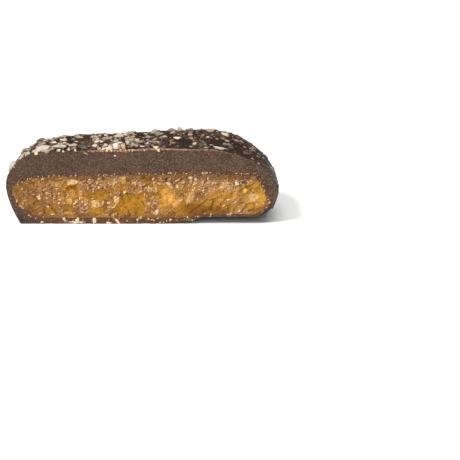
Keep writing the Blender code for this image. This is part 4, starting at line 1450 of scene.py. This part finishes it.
CRUMBS_ON_CUT = (
    Chip(CRUMB, 0.1, (-14.34, 0.71, -13.25, 0.48, -10.68, 0.6, -10.57, 0.29, -12.88, 0.1, -13.98, 0.33)),
    Chip(CRUMB, 0, (-12.66, 0.37, -12.04, 1.49, -11.71, 0.37)),
    Chip(CRUMB, 0, (-9.36, 1.02, -9.03, 1.25, -8.63, 0.95, -8.63, 0.17, -9.21, 0.06)),
    Chip(CRUMB, 0.2, (-6.91, 0.44, -5.84, 0.33, -5.92, 0.02, -6.83, 0.1)),
    Chip(CRUMB, 0.1, (-5.33, 1.02, -4.89, 1.02, -4.23, 0.25, -4.31, -0.25, -4.82, 0.21)),
    Chip(CRUMB, 0.3, (-14.89, 1.14, -14.42, 1.22, -14.34, 0.75, -14.82, 0.68)),
    Chip(CRUMB, 0.4, (-0.64, 1.52, -0.24, 1.6, -0.2, 1.02, -0.6, 0.95)),
    Chip(CRUMB, 0.3, (-19, 0.52, -18.45, 0.6, -18.41, 0.21, -18.92, 0.17)),
    Chip(CRUMB, 0, (-19.36, 13.76, -18.85, 13.88, -18.74, 13.45, -19.29, 13.37)),
    Chip(CRUMB, 0, (-15.26, 14.42, -14.82, 14.53, -14.71, 14.07, -15.19, 13.99)),
    Chip(CRUMB, 0.1, (-13.36, 14.53, -12.95, 14.84, -12.88, 14.26, -13.28, 14.15)),
    Chip(CRUMB, 0.2, (-12.15, 14.42, -11.85, 14.53, -11.78, 14.07, -12.07, 13.99)),
    Chip(CRUMB, 0.4, (-5, 13.32, -4.7, 13.37, -4.55, 13.2, -4.72, 13.07, -4.95, 13.12)),
    Chip(CRUMB, 0.5, (-14.34, 14.15, -14.05, 14.22, -13.98, 13.92, -14.27, 13.84)),
    Chip(CRUMB, 1.3, (-10.6, 13.8, -10, 13.7, -9.7, 13.5, -9.8, 13.4, -10.3, 13.6)),
    Chip(GRIT, 0.9, (-6.5, 14.3, -6, 14.3, -6.1, 14, -6.4, 14)),
    Chip(GRIT, 0.8, (-5.6, 14.3, -5.2, 14.3, -5.3, 13.8)),
    Chip(GRIT, 1.0, (-4, 14.4, -3.6, 14.4, -3.8, 13.9)),
    Chip(GRIT, 0.9, (-2.9, 14.4, -2.6, 14.4, -2.7, 13.8)),
    Chip(GRIT, 0.9, (-2.3, 14.4, -2, 14.4, -2.1, 14)),
    Chip(GRIT, 0.8, (-1.8, 14.4, -1.4, 14.4, -1.7, 13.8)),
    Chip(GRIT, 0.7, (2.7, 14.5, 3.5, 14.5, 3.3, 14, 3, 14)),
    Chip(GRIT, 0.8, (0.4, 14.3, 0.7, 14.3, 0.5, 14)),
)


@dataclass
class BrokenFaceChips:
    """The pecans and crumbs that sit in a face of the cut."""

    face: SnappedFace | KnifeFace
    chips: tuple
    proud: float = 0.07 * MM
    thick: float = 0.9 * MM
    hug: float = 0.7

    def model(self, chip: Chip, number: int) -> bpy.types.Object:
        """Models a piece from a ball that is pressed into its outline."""
        bpy.ops.object.select_all(action="DESELECT")
        bpy.ops.mesh.primitive_ico_sphere_add(subdivisions=4 if chip.kind is not CRUMB else 3, radius=1)
        piece = bpy.context.object
        middle_x, middle_z = chip.middle
        levels = [self.face.behind(x * MM, z * MM) for x, z in (*chip.outline, chip.middle)]
        behind = 0.5 * min(levels) + 0.5 * sum(levels) / len(levels) - self.proud
        seed = Vector((number * 2.3, 0.0, 0.0))
        fade = [math.hypot(vertex.co.x, vertex.co.z) for vertex in piece.data.vertices]

        def pressed(ball: Vector) -> Vector:
            share, turn = math.hypot(ball.x, ball.z), math.atan2(ball.z, ball.x)
            away = chip.reach(turn) * share**0.8 * MM
            x, z = middle_x * MM + away * math.cos(turn), middle_z * MM + away * math.sin(turn)
            flat = (1 - min(1.0, share) ** 6) ** 0.5
            depth = self.thick / 2 * (1 + math.copysign(flat, ball.y))
            level = behind + self.hug * (self.face.behind(x, z) - self.proud - behind)
            crag, _ = facets(Vector((x, number * 2.3 * MM, z)), 0.8 * MM, 0.5, 0.1 * MM)
            place = Vector((x, level + depth + self.hug * crag * flat, z))
            place += 0.13 * MM * noise.noise_vector(place / (0.5 * MM) + seed)
            place += 0.07 * MM * noise.noise_vector(place / (0.2 * MM) + seed)
            return Vector((place.x, place.y, max(place.z, 0.02 * MM)))

        move_points(piece, pressed)
        store(piece, {"tone": [chip.tone] * len(fade), "fade": fade})
        return piece

    def build(self, name: str, slot: str, node: str) -> bpy.types.Object:
        """Models and dresses them as one piece on a node."""
        pieces = []
        for number, chip in enumerate(self.chips):
            piece = self.model(chip, number)
            for flesh in (kind.value for kind in ChipKind):
                piece.data.materials.append(bpy.data.materials.get(flesh.name) or flesh.material())
            faces = piece.data.polygons
            faces.foreach_set("material_index", [list(ChipKind).index(chip.kind)] * len(faces))
            pieces.append(piece)
        pick_only(*pieces)
        bpy.ops.object.join()
        chips = bpy.context.object
        chips.name = name
        shade(chips, degrees=40)
        chips.data.transform(Matrix.Translation(TO_FRAME))
        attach(chips, "root")
        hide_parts(node)
        return chips


@dataclass
class ToffeeGritAndGlints:
    """Fine crumbs of pecan and crushed toffee over the break, and along the bottom of the cut, pale enough
    to serve as painted glints.
    """

    form: Slab
    face: SnappedFace
    grains: int = 380
    low_grains: int = 60
    edge_grains: int = 150
    pile: Pile = field(default_factory=Pile)

    def beside_edge(self, draw: random.Random) -> tuple[float, float]:
        """Draws a place on the outline of the toffee, above its lower corners."""
        ring = self.form.ring
        while True:
            i, share = draw.randrange(len(ring) - 1), draw.random()
            (x1, z1), (x2, z2) = ring[i], ring[i + 1]
            gap = math.hypot(x2 - x1, z2 - z1)
            if (z1 > 3 * MM or x1 < -17 * MM) and gap < 1 * MM and draw.random() < gap / (0.6 * MM):
                return x1 + (x2 - x1) * share, z1 + (z2 - z1) * share

    def inside(self, along: float, above: float) -> bool:
        """Tells whether a place lies within the broken face, clear of its edge."""
        slack = abs(above - 5.3 * MM) / (3.7 * MM)
        return abs(along) < self.form.half_length - 1.0 * MM - 2.2 * MM * slack**2 and slack < 0.97

    def on_face(self, draw: random.Random) -> tuple[float, float]:
        """Draws a place on the break: seldom where it is clear, and never on a nut."""
        while True:
            along, above = draw.uniform(-23, 23) * MM, draw.uniform(1.3, 9.4) * MM
            share = min(0.6, 0.45 - 0.5 * self.face.clear(along, above))
            share += 0.5 * (1 - ramp_mm(along, -22.5, -19.5)) * ramp_mm(above, 4.5, 6)
            share -= 0.2 * (1 - ramp_mm(along, -17, -11)) + 0.15 * (1 - ramp_mm(above, 3, 6))
            if not self.inside(along, above) or draw.random() > share:
                continue
            if not any(chip.covers(along, above) for chip in CHIPS_IN_TOFFEE):
                return along, above

    def drop(self, piece: Knapped, place: tuple, turn: float, sizes: tuple, tone: float) -> None:
        """Drops a grain at a place, turned within the cut."""
        placing = Matrix.Translation(place) @ Matrix.Rotation(turn, 4, "Y")
        self.pile.add(piece, placing @ Matrix.Diagonal((*sizes, 1)), tone, False)

    def build(self) -> bpy.types.Object:
        """Models and dresses the grit, which also serves as painted glints."""
        shapes = [knap(450 + i, fineness=1, cuts=2, roughness=0.3) for i in range(10)]
        draw = random.Random(41)
        for _ in range(self.grains):
            along, above = self.on_face(draw)
            size = (0.15 + 0.33 * draw.random() ** 2.2) * MM
            place = (along, self.face.behind(along, above) + size * 0.1, above)
            turn = -math.radians(draw.gauss(40, 28))
            sizes = (size * draw.uniform(0.5, 1.1), size / 2, size * draw.uniform(0.25, 0.45))
            self.drop(draw.choice(shapes), place, turn, sizes, draw.random())
        for _ in range(self.low_grains):
            along = draw.uniform(-16.5, 19.0) * MM
            rise = COAT_FORM.bow * COAT_FORM.bow_share(along, 0.0)
            above = rise + draw.uniform(0.1, 1.3) * MM * (1 - 0.5 * rise / COAT_FORM.bow)
            size = (0.16 + 0.3 * draw.random() ** 2) * MM
            place, turn = (along, 0.02 * MM, max(above, size / 2)), draw.uniform(0, 6)
            sizes = (size / 2, size / 2, size * draw.uniform(0.25, 0.5))
            self.drop(draw.choice(shapes), place, turn, sizes, draw.random())
        for _ in range(self.edge_grains):
            along, above = self.beside_edge(draw)
            place = (along + draw.gauss(0, 0.1) * MM, -0.01 * MM, above + draw.gauss(0.06, 0.12) * MM)
            size = (0.12 + 0.26 * draw.random() ** 2) * MM
            sizes = (size * draw.uniform(0.5, 0.9), size * 0.35, size * draw.uniform(0.25, 0.5))
            turn = draw.uniform(0, 6)
            self.drop(draw.choice(shapes), place, turn, sizes, draw.uniform(0.6, 1.4))
        return self.pile.build("toffee_grit_and_glints", GRIT.value.material(), "toffee", "toffee_core")


# ---- studio


@dataclass(frozen=True)
class Studio:
    """A pale floor, soft lights, and a camera where the photograph was taken from."""

    distance: float = 220 * MM
    elevation: float = 21.0
    frame_px: float = 460.0
    px_per_mm: float = 5.46
    offset_right: float = -16.06 * MM
    offset_up: float = 7.68 * MM
    looked_at: tuple = (0.0, -8.8 * MM, 7.0 * MM)

    def camera(self) -> None:
        """Sets up the camera."""
        turn = math.radians(self.elevation)
        right, up = Vector((1, 0, 0)), Vector((0, math.sin(turn), math.cos(turn)))
        forward = Vector((0, math.cos(turn), -math.sin(turn)))
        target = Vector(self.looked_at) - right * self.offset_right - up * self.offset_up
        camera = bpy.data.cameras.new("camera")
        camera.sensor_width = 36
        camera.lens = 36 * self.distance / (self.frame_px / self.px_per_mm * MM)
        camera.clip_start, camera.clip_end = 0.01, 20
        eye = bpy.data.objects.new("camera", camera)
        eye.location = target - forward * self.distance
        eye.rotation_mode = "QUATERNION"
        eye.rotation_quaternion = forward.to_track_quat("-Z", "Y")
        bpy.context.collection.objects.link(eye)
        bpy.context.scene.camera = eye

    def panel(self, name: str, place: Vector, size: float, watts: float) -> None:
        """Hangs a square soft light that looks at the bar."""
        light = bpy.data.lights.new(name, "AREA")
        light.shape, light.size, light.energy = "SQUARE", size, watts
        lamp = bpy.data.objects.new(name, light)
        lamp.location = place
        lamp.rotation_mode = "QUATERNION"
        lamp.rotation_quaternion = (Vector((0, 0, 0.007)) - place).to_track_quat("-Z", "Y")
        bpy.context.collection.objects.link(lamp)

    def build(self) -> None:
        """Sets up the floor, the lights and the camera."""
        bpy.ops.object.select_all(action="DESELECT")
        bpy.ops.mesh.primitive_plane_add(size=6)
        floor = bpy.context.object
        floor.name = "floor"
        finish = Board("studio_floor").dressed(
            Base_Color=(0.9, 0.9, 0.89, 1), Roughness=0.9, Specular_IOR_Level=0.1
        )
        floor.data.materials.append(finish)
        self.panel("key", Vector((-0.26, -0.16, 0.40)), size=0.14, watts=2.4)
        self.panel("overhead", Vector((0.05, 0.08, 0.60)), size=0.5, watts=2.8)
        self.panel("front", Vector((-0.05, -0.60, 0.30)), size=0.4, watts=1.2)
        world = bpy.data.worlds.new("studio_air")
        world.use_nodes = True
        air = world.node_tree.nodes["Background"].inputs
        air["Color"].default_value, air["Strength"].default_value = (1, 1, 1, 1), 0.2
        bpy.context.scene.world = world
        bpy.context.scene.view_settings.view_transform = "Standard"
        self.camera()


def main() -> None:
    """Builds the bar and the studio round it."""
    logging.basicConfig(level=logging.INFO, format="%(message)s")
    noise.seed_set(NOISE_SEED)
    surface = CoatSurface(COAT_FORM)
    cavity = TOFFEE_FORM.grown(TOFFEE_CLEARANCE)
    face = SnappedFace(cavity)
    made = [ChocolateCoat(surface, cavity).build(), ToffeeCore(cavity, face).build()]
    made += PecanTopping(surface).build()
    made.append(BrokenFaceChips(face, CHIPS_IN_TOFFEE).build("pecans_in_toffee", "toffee", "toffee_core"))
    on_cut = BrokenFaceChips(KnifeFace(), CRUMBS_ON_CUT, proud=0.18 * MM, thick=0.3 * MM, hug=0.0)
    made.append(on_cut.build("crumbs_on_cut", "dark_chocolate", "chocolate_coat"))
    made.append(ToffeeGritAndGlints(cavity, face).build())
    for piece in made:
        triangles = sum(len(p.vertices) - 2 for p in piece.data.polygons)
        LOG.info("%s: %d triangles", piece.name, triangles)
    Studio().build()


if __name__ == "__main__":
    main()
